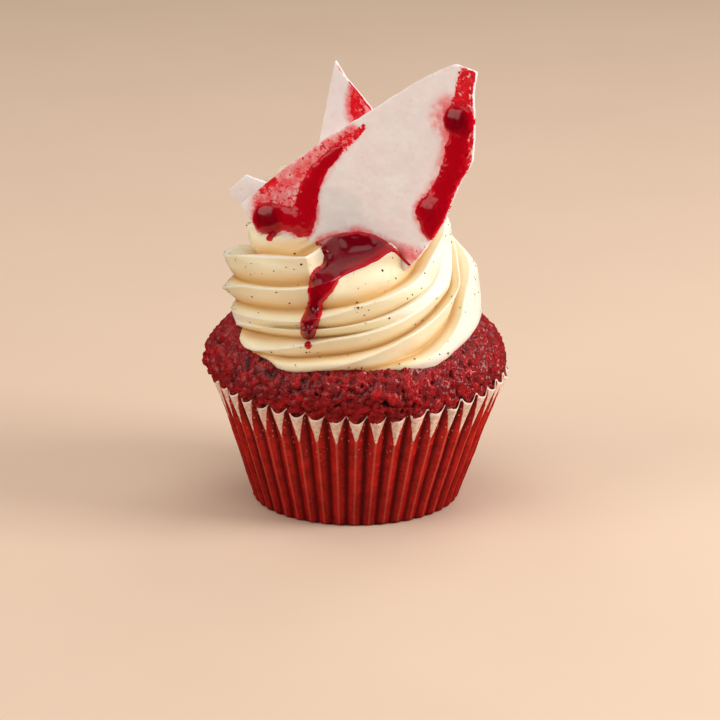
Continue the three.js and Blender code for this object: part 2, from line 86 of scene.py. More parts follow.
def grain_distance(points, size, seed):
    """Distance to the nearest grain, in cubes: each cube of a lattice has one grain at a random place,
    and the nearest of the 27 cubes round a point is taken."""
    grains = np.random.default_rng(seed).uniform(0, 1, (32, 32, 32, 3))
    cell = np.floor(points / size).astype(int)
    nearest = np.full(points.shape[:-1], 9.0)
    for step in itertools.product((-1, 0, 1), repeat=3):
        other = cell + step
        i, j, k = np.moveaxis(other % 32, -1, 0)
        away = np.linalg.norm(other + grains[i, j, k] - points / size, axis=-1)
        nearest = np.minimum(nearest, away)
    return nearest


# ---- Meshes ----

def closed_rings(rings, first, last):
    """Points and faces of a body of rings: each ring is joined to the next by quads all the way round, and
    the first and last ring are closed by triangles to a middle point."""
    rows, columns = rings.shape[:2]
    points = np.concatenate([rings.reshape(-1, 3), [first, last]])
    row, column = np.meshgrid(np.arange(rows - 1), np.arange(columns), indexing="ij")
    here, beside = row * columns + column, row * columns + (column + 1) % columns
    quads = np.stack([here, beside, beside + columns, here + columns], -1).reshape(-1, 4)
    edge = np.arange(columns)
    beyond = (edge + 1) % columns
    start, end = np.full(columns, rows * columns), np.full(columns, rows * columns + 1)
    final = (rows - 1) * columns
    fans = np.concatenate([
        np.stack([start, beyond, edge], -1),
        np.stack([end, final + edge, final + beyond], -1),
    ])
    return points, quads, fans


def closed_film(top, bottom, kept):
    """Points and faces of a film: the kept cells of two grids, the lower one turned over, and a wall of
    quads down every side of a kept cell that has no kept neighbour."""
    rows, columns = top.shape[:2]
    number = np.arange(rows * columns).reshape(rows, columns)
    a, b, c, d = number[:-1, :-1], number[:-1, 1:], number[1:, 1:], number[1:, :-1]
    upper = np.stack([a, b, c, d], -1)[kept]
    under = upper[:, ::-1] + rows * columns
    ringed = np.pad(kept, 1)
    sides = [
        (a, b, ringed[:-2, 1:-1]),
        (b, c, ringed[1:-1, 2:]),
        (c, d, ringed[2:, 1:-1]),
        (d, a, ringed[1:-1, :-2]),
    ]
    walls = []
    for start, end, outside in sides:
        bare = kept & ~outside
        first, second = start[bare], end[bare]
        walls.append(np.stack([second, first, first + rows * columns, second + rows * columns], -1))
    quads = np.concatenate([upper, under, *walls])
    points = np.concatenate([top.reshape(-1, 3), bottom.reshape(-1, 3)])
    return points, quads


def cells_with(shown):
    """The cells of a grid that have at least one shown corner."""
    return shown[:-1, :-1] | shown[1:, :-1] | shown[:-1, 1:] | shown[1:, 1:]


def piece(name, points, quads, triangles=None, marks=None):
    """A piece from points in millimetres, with the points that no face uses dropped. Marks are one number
    for each point, for the materials to read."""
    if triangles is None:
        triangles = np.zeros((0, 3), int)
    corners = np.concatenate([quads.ravel(), triangles.ravel()])
    used, corners = np.unique(corners, return_inverse=True)
    sizes = np.concatenate([np.full(len(quads), 4), np.full(len(triangles), 3)])
    mesh = bpy.data.meshes.new(name)
    mesh.vertices.add(len(used))
    mesh.vertices.foreach_set("co", (points[used] * MM).astype(np.float32).ravel())
    mesh.loops.add(len(corners))
    mesh.loops.foreach_set("vertex_index", corners.astype(np.int32).ravel())
    mesh.polygons.add(len(sizes))
    mesh.polygons.foreach_set("loop_start", (np.cumsum(sizes) - sizes).astype(np.int32))
    mesh.polygons.foreach_set("use_smooth", np.ones(len(sizes), bool))
    for mark, values in (marks or {}).items():
        layer = mesh.attributes.new(mark, "FLOAT", "POINT")
        layer.data.foreach_set("value", np.asarray(values)[used].astype(np.float32))
    mesh.update(calc_edges=True)
    mesh.validate()
    made = bpy.data.objects.new(name, mesh)
    bpy.context.collection.objects.link(made)
    return made


def finish_piece(made, material, slot, *nodes):
    """Gives a piece its material, lets it ride on the cupcake, and hides the solids it stands for."""
    made.data.materials.append(material)
    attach(made, "root")
    if nodes:
        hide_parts(*nodes)


def outward(grid):
    """Unit normals of a grid of points that closes on itself along its second direction."""
    along = np.gradient(grid, axis=0)
    across = np.roll(grid, -1, axis=1) - np.roll(grid, 1, axis=1)
    normal = np.cross(across, along)
    return normal / np.maximum(np.linalg.norm(normal, axis=-1, keepdims=True), 1e-9)


def around(angle, radius, height, x=0.0, y=0.0):
    """A point at an angle, a radius and a height round an upright axis."""
    turn = np.radians(angle)
    return np.stack(np.broadcast_arrays(x + radius * np.sin(turn), y - radius * np.cos(turn), height), -1)


# ---- Paper case ----

PLEATS = 44
FIRST_FOLD = -0.9  # angle of an outward fold
PAPER = 0.28
FOOT_SHIFT = -1.0  # the case's foot stands this far to the left of its rim
CORNER_HEIGHT = 1.4
WALL_FOOT_RADIUS = 26.3
TAPER = 0.335  # radius gained for each millimetre of height
FLARE, FLARE_FROM = 0.9, 20.0  # extra radius at the rim, and the height where it starts
SOLID_CREASE_RISE = 1.2  # how much higher the solid's rim stands at its creases
RIM_FRONT, RIM_SIDE = 30.2, solid_top("paper_case") - SOLID_CREASE_RISE
CREASE_RISE = 2.0
FOLD_DEPTH_FOOT, FOLD_DEPTH_RIM = 0.8, 1.75
FLOOR_MIDDLE = 12.0  # radius of the innermost ring of the case's flat bottom
HIDDEN_DRYNESS, HIDDEN_DEPTH = -1.0, 30.0  # marks where the paper is out of sight
# How much pleats differ: a row for the depth, the lean, the height and the dry patch of every pleat.
pleat_luck = np.random.default_rng(11).uniform(-1, 1, (4, PLEATS))


def leaning(points):
    """Points of the case or of the sponge in it, shifted the more the lower they are under the rim."""
    points[..., 0] += FOOT_SHIFT * np.clip(1 - points[..., 2] / (RIM_SIDE + CREASE_RISE), 0, 1)
    return points


def crease_share(angle):
    """0 on the ridge of an outward fold and 1 in the crease between two, rising evenly in between. Also the
    number of the nearest fold."""
    turned = (angle - FIRST_FOLD) / 360 * PLEATS
    number = np.round(turned).astype(int) % PLEATS
    return np.abs(turned - np.round(turned)) * 2, number


def case_radius(height):
    """Radius over the outward folds: an even taper, and a flare that grows with the square of height."""
    flare = FLARE * (np.maximum(0, height - FLARE_FROM) / (RIM_SIDE - FLARE_FROM)) ** 2
    return WALL_FOOT_RADIUS + TAPER * (height - CORNER_HEIGHT) + flare


def rim_height(angle):
    """Height of the rim on the outward folds: lower at the front and back than at the sides."""
    return blend(RIM_FRONT, RIM_SIDE, np.sin(np.radians(angle)) ** 2)


def zigzag_rim(angle):
    """Height of the rim, which rises to each crease with the 2.4th power of the way there."""
    return rim_height(angle) + CREASE_RISE * crease_share(angle)[0] ** 2.4


def pleated_radius(angle, height):
    """The case's outside: from the outward folds, in by the fold's depth times the 1.5th power of the way
    to the crease, so folds are rounded and creases sharp."""
    crease, number = crease_share(angle)
    share = np.clip(height / RIM_SIDE, 0, 1)
    depth = blend(FOLD_DEPTH_FOOT, FOLD_DEPTH_RIM, share) * (1 + 0.14 * pleat_luck[0][number])
    lean = 0.25 * pleat_luck[1][number] * share
    return case_radius(height) + lean * (1 - crease) - depth * crease**1.5


def paper_case():
    """A grid of columns round the case by rows up the outside, over the rim and down the inside. A column's
    rim is higher the nearer it is to a crease. The paper is crinkled by noise, and the bottom corner is a
    quarter of a circle. The dryness falls with the 0.8th power of the way down from the rim and evenly
    towards the crease, so a dry patch is a point-down triangle."""
    columns = PLEATS * 14
    angle = np.arange(columns) * 360 / columns
    crease, number = crease_share(angle)
    rim = zigzag_rim(angle) + 0.25 * pleat_luck[2][number] * (1 - crease)
    share = np.linspace(0, 1, 40)[:, None]
    height = blend(CORNER_HEIGHT, rim[None], share)
    radius = pleated_radius(angle[None], height)
    outside = around(angle[None], radius, height)
    crinkle = 0.05 * soft_noise(outside * [1, 1, 2.5], 1.1, 3) + 0.12 * soft_noise(outside, 6, 4)
    outside = around(angle[None], radius + crinkle, height)
    inside = around(angle[None], radius + crinkle - PAPER, height)
    edge = around(angle, pleated_radius(angle, rim) + crinkle[-1] - PAPER / 2, rim + PAPER / 2)[None]
    corner = np.sin(np.linspace(0, np.pi / 2, 5))[:-1, None]
    foot_radius = blend(case_radius(0) - 0.8 - 0.5 * crease, pleated_radius(angle, CORNER_HEIGHT), corner)
    foot_height = CORNER_HEIGHT * (1 - np.sqrt(1 - corner**2))
    foot = around(angle[None], foot_radius, foot_height + 0 * foot_radius)
    floor_radius = blend(case_radius(0) - 2.5, FLOOR_MIDDLE, np.linspace(0, 1, 4)[:, None])
    floor = around(angle[None], floor_radius, PAPER + 0 * angle[None])
    bottom = around(angle[None], np.array([[FLOOR_MIDDLE]]), 0 * angle[None])
    rings = np.concatenate([bottom, foot, outside, edge, inside[::-1], floor])
    points, quads, fans = closed_rings(leaning(rings), [FOOT_SHIFT, 0, 0], [FOOT_SHIFT, 0, PAPER])

    def over_rings(hidden, wall, on_edge):
        """A mark for all rings: the wall's rows up, the edge's and the wall's down, and one number under."""
        low = np.full((len(bottom) + len(foot), columns), hidden)
        inner_floor = np.full((len(floor), columns), hidden)
        return np.concatenate([low, wall, on_edge, wall[::-1], inner_floor]).ravel()

    below = rim[None] - height
    reach = blend(7.2, 11, np.sin(np.radians(angle)) ** 2) * (1 + 0.14 * pleat_luck[3][number])
    dryness = 0.86 - 0.9 * np.clip(below / reach, 0, 2) ** 0.8 - crease[None]
    marks = {
        "dryness": over_rings(HIDDEN_DRYNESS, dryness, dryness[-1:]),
        "crease": np.broadcast_to(crease, rings.shape[:2]).ravel(),
        "below_rim": over_rings(HIDDEN_DEPTH, below, 0 * below[-1:]),
    }
    marks = {mark: np.append(values, [-1, -1]) for mark, values in marks.items()}
    return piece("pleated_paper", points, quads, fans, marks)


# ---- Sponge ----

CROWN_MIDDLE_X = -1.0
CROWN_RADIUS, CROWN_WIDEST = 37.4, 36.5
CROWN_TOP = solid_top("sponge")
CROWN_RISE = round(CROWN_TOP - CROWN_WIDEST, 1)
SPONGE_GAP = 0.22  # between the sponge's side and the paper round it
SPONGE_FLOOR = PAPER + 0.15
SWELL_START = 1.2  # the crown starts to swell this far below the rim
CRUMB_HIDDEN = 49.5, 51.0  # heights between which the frosting hides the crumb
# Lumps of the crumb: size, height, how flat they are, how steep, seed.
LUMPS = [(2.3, 1.25, 1.25, 1.6, 24), (1.2, 0.8, 1.0, 1.7, 25), (0.65, 0.2, 1.0, 1.7, 26)]
PORE_DEPTH = 1.0
CRUMB_LEVEL = 1.2  # about the mean height of the lumps, by which the crumb is let in


def crown_radius(angle):
    """Radius where the crown is widest: a circle with three slow waves round it."""
    turn = np.radians(angle)
    return CROWN_RADIUS + 0.3 * (np.sin(3 * turn + 1) + np.sin(7 * turn) + np.sin(11 * turn - 2))


def crown_height(x, y):
    """Height of the smooth dome over a point: an ellipse's height at its distance from the middle."""
    across = x - CROWN_MIDDLE_X
    share = np.hypot(across, y) / crown_radius(np.degrees(np.arctan2(across, -y)))
    return CROWN_WIDEST + CROWN_RISE * np.sqrt(np.maximum(0, 1 - share**2))


def crumb(points):
    """Relief of the crumb: lumps of three sizes, highest at each grain and lower by a power of the distance
    from it, with pores where other noise is high, and a slow swell. The places are pushed about first, so
    that no lump is round."""
    pushed = points + 0.7 * np.stack([soft_noise(points, 1.7, seed) for seed in (21, 22, 23)], -1)
    lumps = sum(
        height * (1 - grain_distance(pushed * [1, 1, flatness], size, seed) ** steepness)
        for size, height, flatness, steepness, seed in LUMPS
    )
    pores = smooth(soft_noise(points, 1.5, 27) + 0.5 * soft_noise(points, 0.7, 28), 0.62, 1.0)
    swell = 0.35 * soft_noise(points, 7, 29)
    return lumps - PORE_DEPTH * pores + swell - CRUMB_LEVEL


def sponge():
    """A grid of columns round the sponge by rows up it: inside the case a little within its folds, then
    spreading over the rim by a quarter of a sine, then the dome as a quarter of an ellipse. The crumb's
    relief moves each point along the surface's normal, fading out where the case or frosting hides it."""
    columns = PLEATS * 18
    angle = np.arange(columns) * 360 / columns
    turned = angle[None]
    rim = zigzag_rim(angle)[None]
    start = rim - SWELL_START
    wall_share = np.array([0, 0.3, 0.6, 0.8, 0.9])[:, None]
    wall_height = blend(CORNER_HEIGHT + PAPER, start, wall_share)
    wall = around(turned, pleated_radius(turned, wall_height) - PAPER - SPONGE_GAP, wall_height)
    share = np.linspace(0, 1, 20)[:, None]
    spread = np.sin(share * np.pi / 2)
    inner_radius = pleated_radius(turned, start) - PAPER - SPONGE_GAP
    over_radius = blend(inner_radius, crown_radius(turned), spread)
    over = around(turned, over_radius, blend(start, CROWN_WIDEST, share), CROWN_MIDDLE_X * spread)
    slope = np.radians(np.concatenate([np.linspace(1.6, 56, 46), np.linspace(60, 86, 7)]))[:, None]
    dome_height = CROWN_WIDEST + CROWN_RISE * np.sin(slope) + 0 * turned
    dome = around(turned, crown_radius(turned) * np.cos(slope), dome_height, CROWN_MIDDLE_X)
    foot = around(turned, 22 + 0 * turned, SPONGE_FLOOR + 0 * turned)
    rings = leaning(np.concatenate([foot, wall, over, dome]))
    height = rings[..., 2]
    shown = smooth(height, rim - 1.0, rim + 0.6) * (1 - smooth(height, *CRUMB_HIDDEN))
    rough = crumb(rings)
    rings = rings + outward(rings) * (rough * shown)[..., None]
    bottom_middle, top_middle = [FOOT_SHIFT, 0, SPONGE_FLOOR], [CROWN_MIDDLE_X, 0, CROWN_TOP]
    points, quads, fans = closed_rings(rings, bottom_middle, top_middle)
    return piece("crumbly_sponge", points, quads, fans, {"raised": np.append(rough, [0, 0])})


# ---- Where the shards stand ----

SHARD_THICKNESS = 1.3
# A point of the front face, how far the right end is turned to the front and how far the shard leans back in
# degrees, the middle that its rings shrink to, and its outline across and up in its own plane.
SHARDS = {
    "shard_front": ((13, -22.5, 64.57), 27, 6, (-12, 21), [
        (8.3, 52.8), (0.6, 48.7), (-3.3, 46.2), (-14.1, 38.6), (-27.4, 29.3), (-35.6, 22.9),
        (-48.5, 11.2), (-45.5, 7.6), (-43.4, 4.5), (-38, -2), (-14, -5), (-4, -1),
        (-0.5, 1.9), (2.9, 6.1), (5.3, 10), (7.5, 13.6), (11, 22.7), (14.4, 29),
        (14.7, 32.9), (14.3, 40), (13.7, 46.2), (14.4, 51.4),
    ]),
    "shard_left": ((-28, 3.5, 77.07), 10, 4, (3, -1.5), [
        (-0.6, 5.5), (-5.1, 1), (-1.8, -2.3), (5.4, -9), (13.4, 0.8), (4.3, 3.9),
    ]),
    "shard_spike": ((-5, 3.5, 84), 18, 3, (2, 6), [
        (-1.6, 27.6), (-3.5, 17.3), (-5.5, 6.5), (-7.2, -2), (-5.5, -9.5), (9.7, -8.3),
        (13.2, 0.9), (13.6, 9.6), (7.9, 16.2), (4.5, 20.1), (1.3, 23.3),
    ]),
}


def shard_axes(name):
    """A point of a shard's face and its three directions: across, up the face, and out of it."""
    anchor, turn, lean = SHARDS[name][:3]
    turn, lean = math.radians(turn), math.radians(lean)
    across = np.array([math.cos(turn), -math.sin(turn), 0])
    back = np.array([math.sin(turn), math.cos(turn), 0])
    up = back * math.sin(lean) + np.array([0, 0, math.cos(lean)])
    return np.array(anchor, float), across, up, np.cross(across, up)


# ---- Frosting ----

# Height gained by every ridge round the swirl: an even climb, and three places where all climb faster.
CLIMB_PER_DEGREE = 0.05
FASTER_CLIMBS = [(0.75, -75, 12), (6.6, 44, 36), (3.5, 120, 25)]  # height gained, angle, spread
SQUEEZED = 58.7, 6  # angle and spread at which the lowest grooves are pushed up against the next
ALWAYS, NEVER = (-1e4, 1e4), (1e4, 1e4)
# Grooves from the highest: height where the lines start, their own faster climbs, angle where the crest
# below is born, the least and the greatest share of the ridge under that crest, the groove's depth, and the
# angles between which it is open and between which it is shut.
GROOVES = [
    (79.35, [(2.2, -66, 18)], -160, 0.15, 0.87, 1.00, ALWAYS, NEVER),
    (74.65, [(-1.2, -75, 12), (2.8, -8, 18)], -103, 0.15, 0.87, 1.00, ALWAYS, NEVER),
    (68.75, [(-0.9, -75, 12), (-1.6, 30, 10)], -44, 0.38, 0.87, 1.00, ALWAYS, NEVER),
    (63.3, [], -90, 0.15, 0.87, 0.85, (-48, 1e4), (36, 130)),
    (61.05, [], -57, 0.15, 0.87, 1.00, ALWAYS, (8, 120)),
    (56.65, [(2.6, *SQUEEZED)], -32, 0.35, 0.96, 1.00, ALWAYS, NEVER),
    (51.6, [(-1.2, 24, 10), (6.0, *SQUEEZED)], 20, 0.30, 0.87, 1.00, ALWAYS, NEVER),
    (47.35, [(4.6, *SQUEEZED)], 90, 0.15, 0.87, 0.90, (110, 285), NEVER),
    (44.55, [(2.4, *SQUEEZED)], 120, 0.15, 0.87, 0.80, (125, 270), NEVER),
]
CREST_SPAN, FADE = 55, 14  # degrees over which a crest rises, and over which a groove opens or shuts
TURNS = (2, 1, 0, -1, -2)
GROOVE_DEPTH, GROOVE_SINK = 3.8, 1.0  # how far a full groove goes in, and how far it hooks down
MEAN_DEPTH = 2.2  # of the grooves, for finding roughly where the swirl's foot is
SWIRL_FOOT = (-0.5, -3, 45)  # a point of the swirl's axis
LEAN_X, LEAN_Y = -0.09, 0.12  # how far the axis moves for each millimetre of height
TOP_SHIFT = (5, 70, 75.5)  # how far back the top coil sits, and the heights between which that comes
COIL_RADIUS = 21.4  # of the top coil
SWIRL_TOP, CAP_FROM = solid_top("frosting"), 75.5
CAP_POWERS = 2.3, 0.44  # of the curve that closes the top coil, which is fuller than an ellipse
# Each lower coil's step outwards, and the heights between which it goes.
UPPER_STEP, LOWER_STEP = (4.2, 70.5, 75.5), (5.9, 59.5, 68.5)
BEDDED = 0.15  # how deep the frosting sits in the sponge
FOOT_SPAN = (38.0, 53.0)  # heights between which its foot is looked for
FOOT_TUCK, TUCK_HEIGHT = 1.6, 3.2  # how far the foot is rounded in, and over which height
# Wider and narrower sides: angle, spread, amount, and the heights at which each comes and goes.
SIDES = [
    (12, 42, 1.9, 0, 1, 48, 62), (85, 30, -0.9, 0, 1, 44, 50), (-95, 25, -1.2, 0, 1, 46, 53),
    (-55, 16, 2.4, 0, 1, 45.5, 49), (-30, 13, 1.9, 0, 1, 46, 50), (-38, 26, -1.5, 66, 69, 200, 201),
    (-95, 14, 1.5, 64, 66, 66.5, 69.5), (-80, 45, 1.5, 50, 55, 60, 66), (-105, 22, 1.6, 73, 77, 80, 84),
    (-150, 30, -2.5, 72, 77, 200, 201),
]


def turned_on(angle, at):
    """0 well before an angle, 1 well after it, by half of 1 plus a hyperbolic tangent."""
    return 0.5 * (1 + np.tanh((angle - at) / FADE))


def climb(angle):
    """Height gained up to an angle: the even climb plus a hyperbolic tangent for each faster one."""
    gained = CLIMB_PER_DEGREE * angle
    for amount, at, spread in FASTER_CLIMBS:
        gained = gained + amount * np.tanh((angle - at) / spread)
    return gained


PITCH = climb(180.0) - climb(-180.0)


def line_height(index, angle, turn=0):
    """Height of a groove line: its start, plus the climb, plus a pitch for each whole turn, plus its own
    climbs, each of them half of 1 plus a hyperbolic tangent."""
    height = GROOVES[index][0] + climb(angle) + PITCH * turn
    for amount, at, spread in GROOVES[index][1]:
        height = height + amount * 0.5 * (1 + np.tanh((angle + 360 * turn - at) / spread))
    return height


def crest_share(index, total):
    """Share of a ridge's height that lies under its crest, which rises evenly after the crest is born."""
    _, _, birth, lowest, highest = GROOVES[index][:5]
    return np.clip((total - birth) / CREST_SPAN, lowest, highest)


def ridge_lines(angle):
    """Heights, depths and crest shares of all groove lines at the given angles, the highest first."""
    heights, depths, crests = [], [], []
    for turn in TURNS:
        total = angle + 360 * turn
        for index, (*_, depth, is_open, is_shut) in enumerate(GROOVES):
            heights.append(line_height(index, angle, turn))
            opened = turned_on(total, is_open[0]) * (1 - turned_on(total, is_open[1]))
            shut = turned_on(total, is_shut[0]) * (1 - turned_on(total, is_shut[1]))
            depths.append(depth * opened * (1 - shut))
            crests.append(crest_share(index, total))
    return np.array(heights), np.array(depths), np.array(crests)


def relief(angle, height):
    """0 on a crest and down to -1 in a full groove: from each groove line the surface comes out with the
    0.8th power of the way to the crest, so grooves are sharp and ridges are blades."""
    angle, height = np.broadcast_arrays(np.asarray(angle, float), np.asarray(height, float))
    heights, depths, crests = ridge_lines(angle)
    found = np.zeros(angle.shape)
    for i in range(len(heights) - 1):
        share = (height - heights[i + 1]) / (heights[i] - heights[i + 1])
        under = -depths[i + 1] * (1 - np.clip(share / crests[i], 0, 1) ** 0.8)
        over = -depths[i] * (1 - np.clip((1 - share) / (1 - crests[i]), 0, 1) ** 0.8)
        here = np.where(share < crests[i], under, over)
        found = np.where((share >= 0) & (share < 1), here, found)
    return found


def swirl_middle(height):
    """The swirl's leaning axis, straight but for the top coil, which sits further back."""
    x, y, foot = SWIRL_FOOT
    back, start, end = TOP_SHIFT
    up = height - foot
    return x + LEAN_X * up, y + LEAN_Y * up + back * smooth(height, start, end)


def swirl_radius(angle, height):
    """Radius over the crests: the top coil, which closes in by a curve fuller than an ellipse, plus a step
    out to the coil below and another to the widest coil, plus the wide and narrow sides. The step to the
    widest coil is a sharp ledge along the highest groove line at the front left, and a long slope on the
    other sides."""
    cap = np.clip((height - CAP_FROM) / (SWIRL_TOP - CAP_FROM), 0, 1)
    full, blunt = CAP_POWERS
    step, start, end = UPPER_STEP
    radius = COIL_RADIUS * (1 - cap**full) ** blunt + step * (1 - smooth(height, start, end))
    step, start, end = LOWER_STEP
    ledge = smooth(height - line_height(0, angle), -0.9, 0.1)
    ledged = smooth(angle, -150, -120) * (1 - smooth(angle, -20, -2))
    radius = radius + step * (1 - blend(smooth(height, start, end), ledge, ledged))
    for at, spread, amount, start, full, fading, gone in SIDES:
        share = np.exp(-(((angle - at) / spread) ** 2)) * smooth(height, start, full)
        radius = radius + amount * share * (1 - smooth(height, fading, gone))
    return np.maximum(0, radius)


def meeting_height(angle, radius_at):
    """Height where the swirl, with a radius at each angle and height, meets the sponge: a span of heights is
    halved again and again."""
    low, high = [np.full(angle.shape, end) for end in FOOT_SPAN]
    for _ in range(18):
        middle = (low + high) / 2
        point = around(angle, radius_at(angle, middle), middle, *swirl_middle(middle))
        under = middle < crown_height(point[..., 0], point[..., 1]) - BEDDED
        low, high = np.where(under, middle, low), np.where(under, high, middle)
    return high


# Heights at which the frosting meets the front shard's face, by angle.
CONTACT = [(-88, 69.1), (-72, 68.9), (-42, 69), (-34, 66.5), (-7, 66.8), (8, 68.6), (20, 70.4),
           (28.4, 71.3), (31.6, 68.9), (34.6, 65.6)]
# Angles between which the shard presses on the top groove, and on the ridge under the pool: where each
# part starts to come, is full, starts to go and is gone.
LEFT_PART, POOL_PART = (-100, -88, -14, -11), (-19.5, -16, 34.5, 38)
BEHIND_FACE = 0.5  # how far the frosting above the contact stays behind the shard's face


def within(angle, part):
    """1 within a part of the way round and 0 outside it."""
    return smooth(angle, part[0], part[1]) * (1 - smooth(angle, part[2], part[3]))


def second_crest(angle):
    """Height of the second ridge's crest, which the syrup's pool ends at."""
    return blend(line_height(2, angle), line_height(1, angle), crest_share(1, angle))


def top_sink(angle):
    """How far the top groove is sunk behind the crest below it on the left."""
    return blend(2.0, 3.6, smooth(angle, -75, -25))


def face_distance(angle, height):
    """Distance from the swirl's axis out to the plane of the front shard's face."""
    anchor, _, _, out = shard_axes("shard_front")
    turn = np.radians(angle)
    straight = np.stack(np.broadcast_arrays(np.sin(turn), -np.cos(turn), 0 * height), -1)
    start = np.stack(np.broadcast_arrays(*swirl_middle(height), height), -1)
    return ((anchor - start) @ out) / np.maximum(straight @ out, 0.05)


def pressed(angle, height, radius, first_height):
    """The radius where the front shard presses into the swirl. From a starting height up to the contact the
    surface turns in to the shard's face by a quarter of an ellipse, and above that it stays behind the
    face. It starts at the sunken top groove on the left, and at the second ridge's crest under the pool."""
    contact = np.interp(angle, *zip(*CONTACT))
    face = face_distance(angle, height)
    behind = np.minimum(radius, face - BEHIND_FACE)
    groove = np.minimum(line_height(0, angle) - top_sink(angle), contact - 1)
    crest = np.minimum(second_crest(angle), contact - 1)
    above_groove = first_height > line_height(0, angle)
    for start, here, part in ((groove, above_groove, LEFT_PART), (crest, True, POOL_PART)):
        risen = np.clip((height - start) / (contact - start), 0, 1)
        round_in = np.minimum(radius, face + (radius - face) * np.sqrt(1 - risen**2))
        share = within(angle, part) * here
        radius = blend(radius, np.where(risen < 1, round_in, behind), share)
    return radius


EVERY_ANGLE = np.linspace(-180, 180, 721)
SMOOTH_FOOT = meeting_height(EVERY_ANGLE, lambda angle, height: swirl_radius(angle, height) - MEAN_DEPTH)


def groovy(angle, height):
    """Radius and height with the grooves. The radius goes in by the depth times the relief, less where the
    swirl is narrow, and down to a quarter of it where the swirl nears the sponge. The height sinks with the
    relief, so that grooves hook in behind the crests below them. The front shard then presses it in."""
    radius = swirl_radius(angle, height)
    above_foot = smooth(height - np.interp(angle, EVERY_ANGLE, SMOOTH_FOOT), 0.5, 4.5)
    rough = relief(angle, height) * np.minimum(1, radius / COIL_RADIUS)
    top = np.exp(-(((height - line_height(0, angle)) / 2.5) ** 2)) * within(angle, LEFT_PART)
    flat = within(angle, POOL_PART) * smooth(height - second_crest(angle), 0, 1)
    sink = blend(GROOVE_SINK, top_sink(angle), top) * above_foot * (1 - flat)
    sunk = height + sink * rough
    radius = radius + GROOVE_DEPTH * blend(0.25, 1, above_foot) * rough
    return pressed(angle, sunk, radius, height), sunk


def swirl_point(angle, height, out=0.0):
    """The swirl's surface, or a point further out from it."""
    radius, height = groovy(angle, height)
    return around(angle, np.maximum(0, radius + out), height, *swirl_middle(height))


def foot_tuck(height, foot):
    """How far the surface is rounded in near its foot: the tuck times the square of the nearness."""
    return FOOT_TUCK * np.clip(1 - (height - foot) / TUCK_HEIGHT, 0, 1) ** 2


def foot_height(angle):
    """Height where the grooved surface, tucked in, meets the sponge."""
    return meeting_height(angle, lambda turned, height: groovy(turned, height)[0] - FOOT_TUCK)


def swirl_columns(count):
    """Angles of the columns from -180 to 180, closer together where the ridges climb fastest."""
    even = np.linspace(-180, 180, 7201)
    crowd = 1 + 1.6 * np.exp(-(((even - 50) / 28) ** 2)) + 0.5 * np.exp(-((even / 90) ** 2))
    run = np.concatenate([[0], np.cumsum((crowd[1:] + crowd[:-1]) / 2)])
    return np.interp(np.linspace(0, 1, count + 1), run / run[-1], even)


def frosting():
    """A grid whose rows follow the ridges: rows share out the height between each groove and the crest
    below it, and between that crest and the next groove. The last column is the first one a turn further,
    so its rows join rows of the first column that are one whole set of grooves higher. Rings that shrink to
    the middle close it underneath, let into the crown."""
    count, above, below = 500, 5, 9
    angle = swirl_columns(count)
    lines, _, crests = ridge_lines(angle)
    foot = foot_height(angle)
    rows = []
    for i in range(len(lines) - 1):
        crest = blend(lines[i + 1], lines[i], crests[i])
        rows += [blend(lines[i], crest, share) for share in np.arange(above) / above]
        rows += [blend(crest, lines[i + 1], share**1.15) for share in np.arange(below) / below]
    wanted = np.clip(np.array(rows), foot[None], SWIRL_TOP)
    inwards = -foot_tuck(wanted, foot[None])
    surface = swirl_point(angle[None], wanted, inwards)
    swell = 0.10 * soft_noise(surface * [1, 1, 1.6], 5, 31)
    drag = 0.05 * soft_noise(surface * [0.5, 0.5, 2.2], 1.6, 32)
    surface = swirl_point(angle[None], wanted, inwards + (swell + drag) * (wanted < SWIRL_TOP - 1))
    total, one_turn = len(rows), len(GROOVES) * (above + below)
    row, column = np.meshgrid(np.arange(-one_turn, total + one_turn), np.arange(count), indexing="ij")

    def number(row, column):
        """The number of a point: the last column's are the first one's, one turn higher."""
        wrapped = np.where(column == count, row - one_turn, row)
        return np.clip(wrapped, 0, total - 1) * count + column % count

    quads = np.stack([
        number(row, column), number(row + 1, column), number(row + 1, column + 1), number(row, column + 1),
    ], -1).reshape(-1, 4)
    points = surface[:, :count].reshape(-1, 3)
    middle = np.array(swirl_middle(SWIRL_FOOT[2]))
    flat = blend(middle, surface[-1, :count, :2], np.array([0.9, 0.75, 0.5, 0.25])[:, None, None])
    under = np.concatenate([flat, crown_height(flat[..., 0], flat[..., 1])[..., None] - BEDDED], -1)
    here = np.arange(count)
    beside = (here + 1) % count
    starts = len(points) + np.arange(-1, len(under)) * count
    for upper, lower in zip(starts[:-1], starts[1:]):
        band = np.stack([upper + here, lower + here, lower + beside, upper + beside], -1)
        quads = np.concatenate([quads, band])
    centre = len(points) + under[..., 0].size
    fans = np.stack([starts[-1] + here, np.full(count, centre), starts[-1] + beside], -1)
    points = np.concatenate([points, under.reshape(-1, 3), [[*middle, crown_height(*middle) - BEDDED]]])
    groove = -relief(angle[None], wanted)[:, :count].ravel()
    marks = {"groove": np.pad(groove, (0, len(points) - len(groove)))}
    return merged_piece("piped_swirl", points, quads, fans, marks)


def merged_piece(name, points, quads, triangles, marks):
    """A piece whose points in one place are merged first, and whose quads are split into triangles, so that
    the faces that closed up can be dropped."""
    places, first, number = np.unique(np.round(points, 4), axis=0, return_index=True, return_inverse=True)
    marks = {mark: values[first] for mark, values in marks.items()}
    number = number.reshape(-1)
    faces = np.concatenate([quads[:, [0, 1, 2]], quads[:, [0, 2, 3]], triangles])
    faces = number[faces]
    open_faces = (faces[:, 0] != faces[:, 1]) & (faces[:, 1] != faces[:, 2]) & (faces[:, 2] != faces[:, 0])
    return piece(name, places, np.zeros((0, 4), int), faces[open_faces], marks)


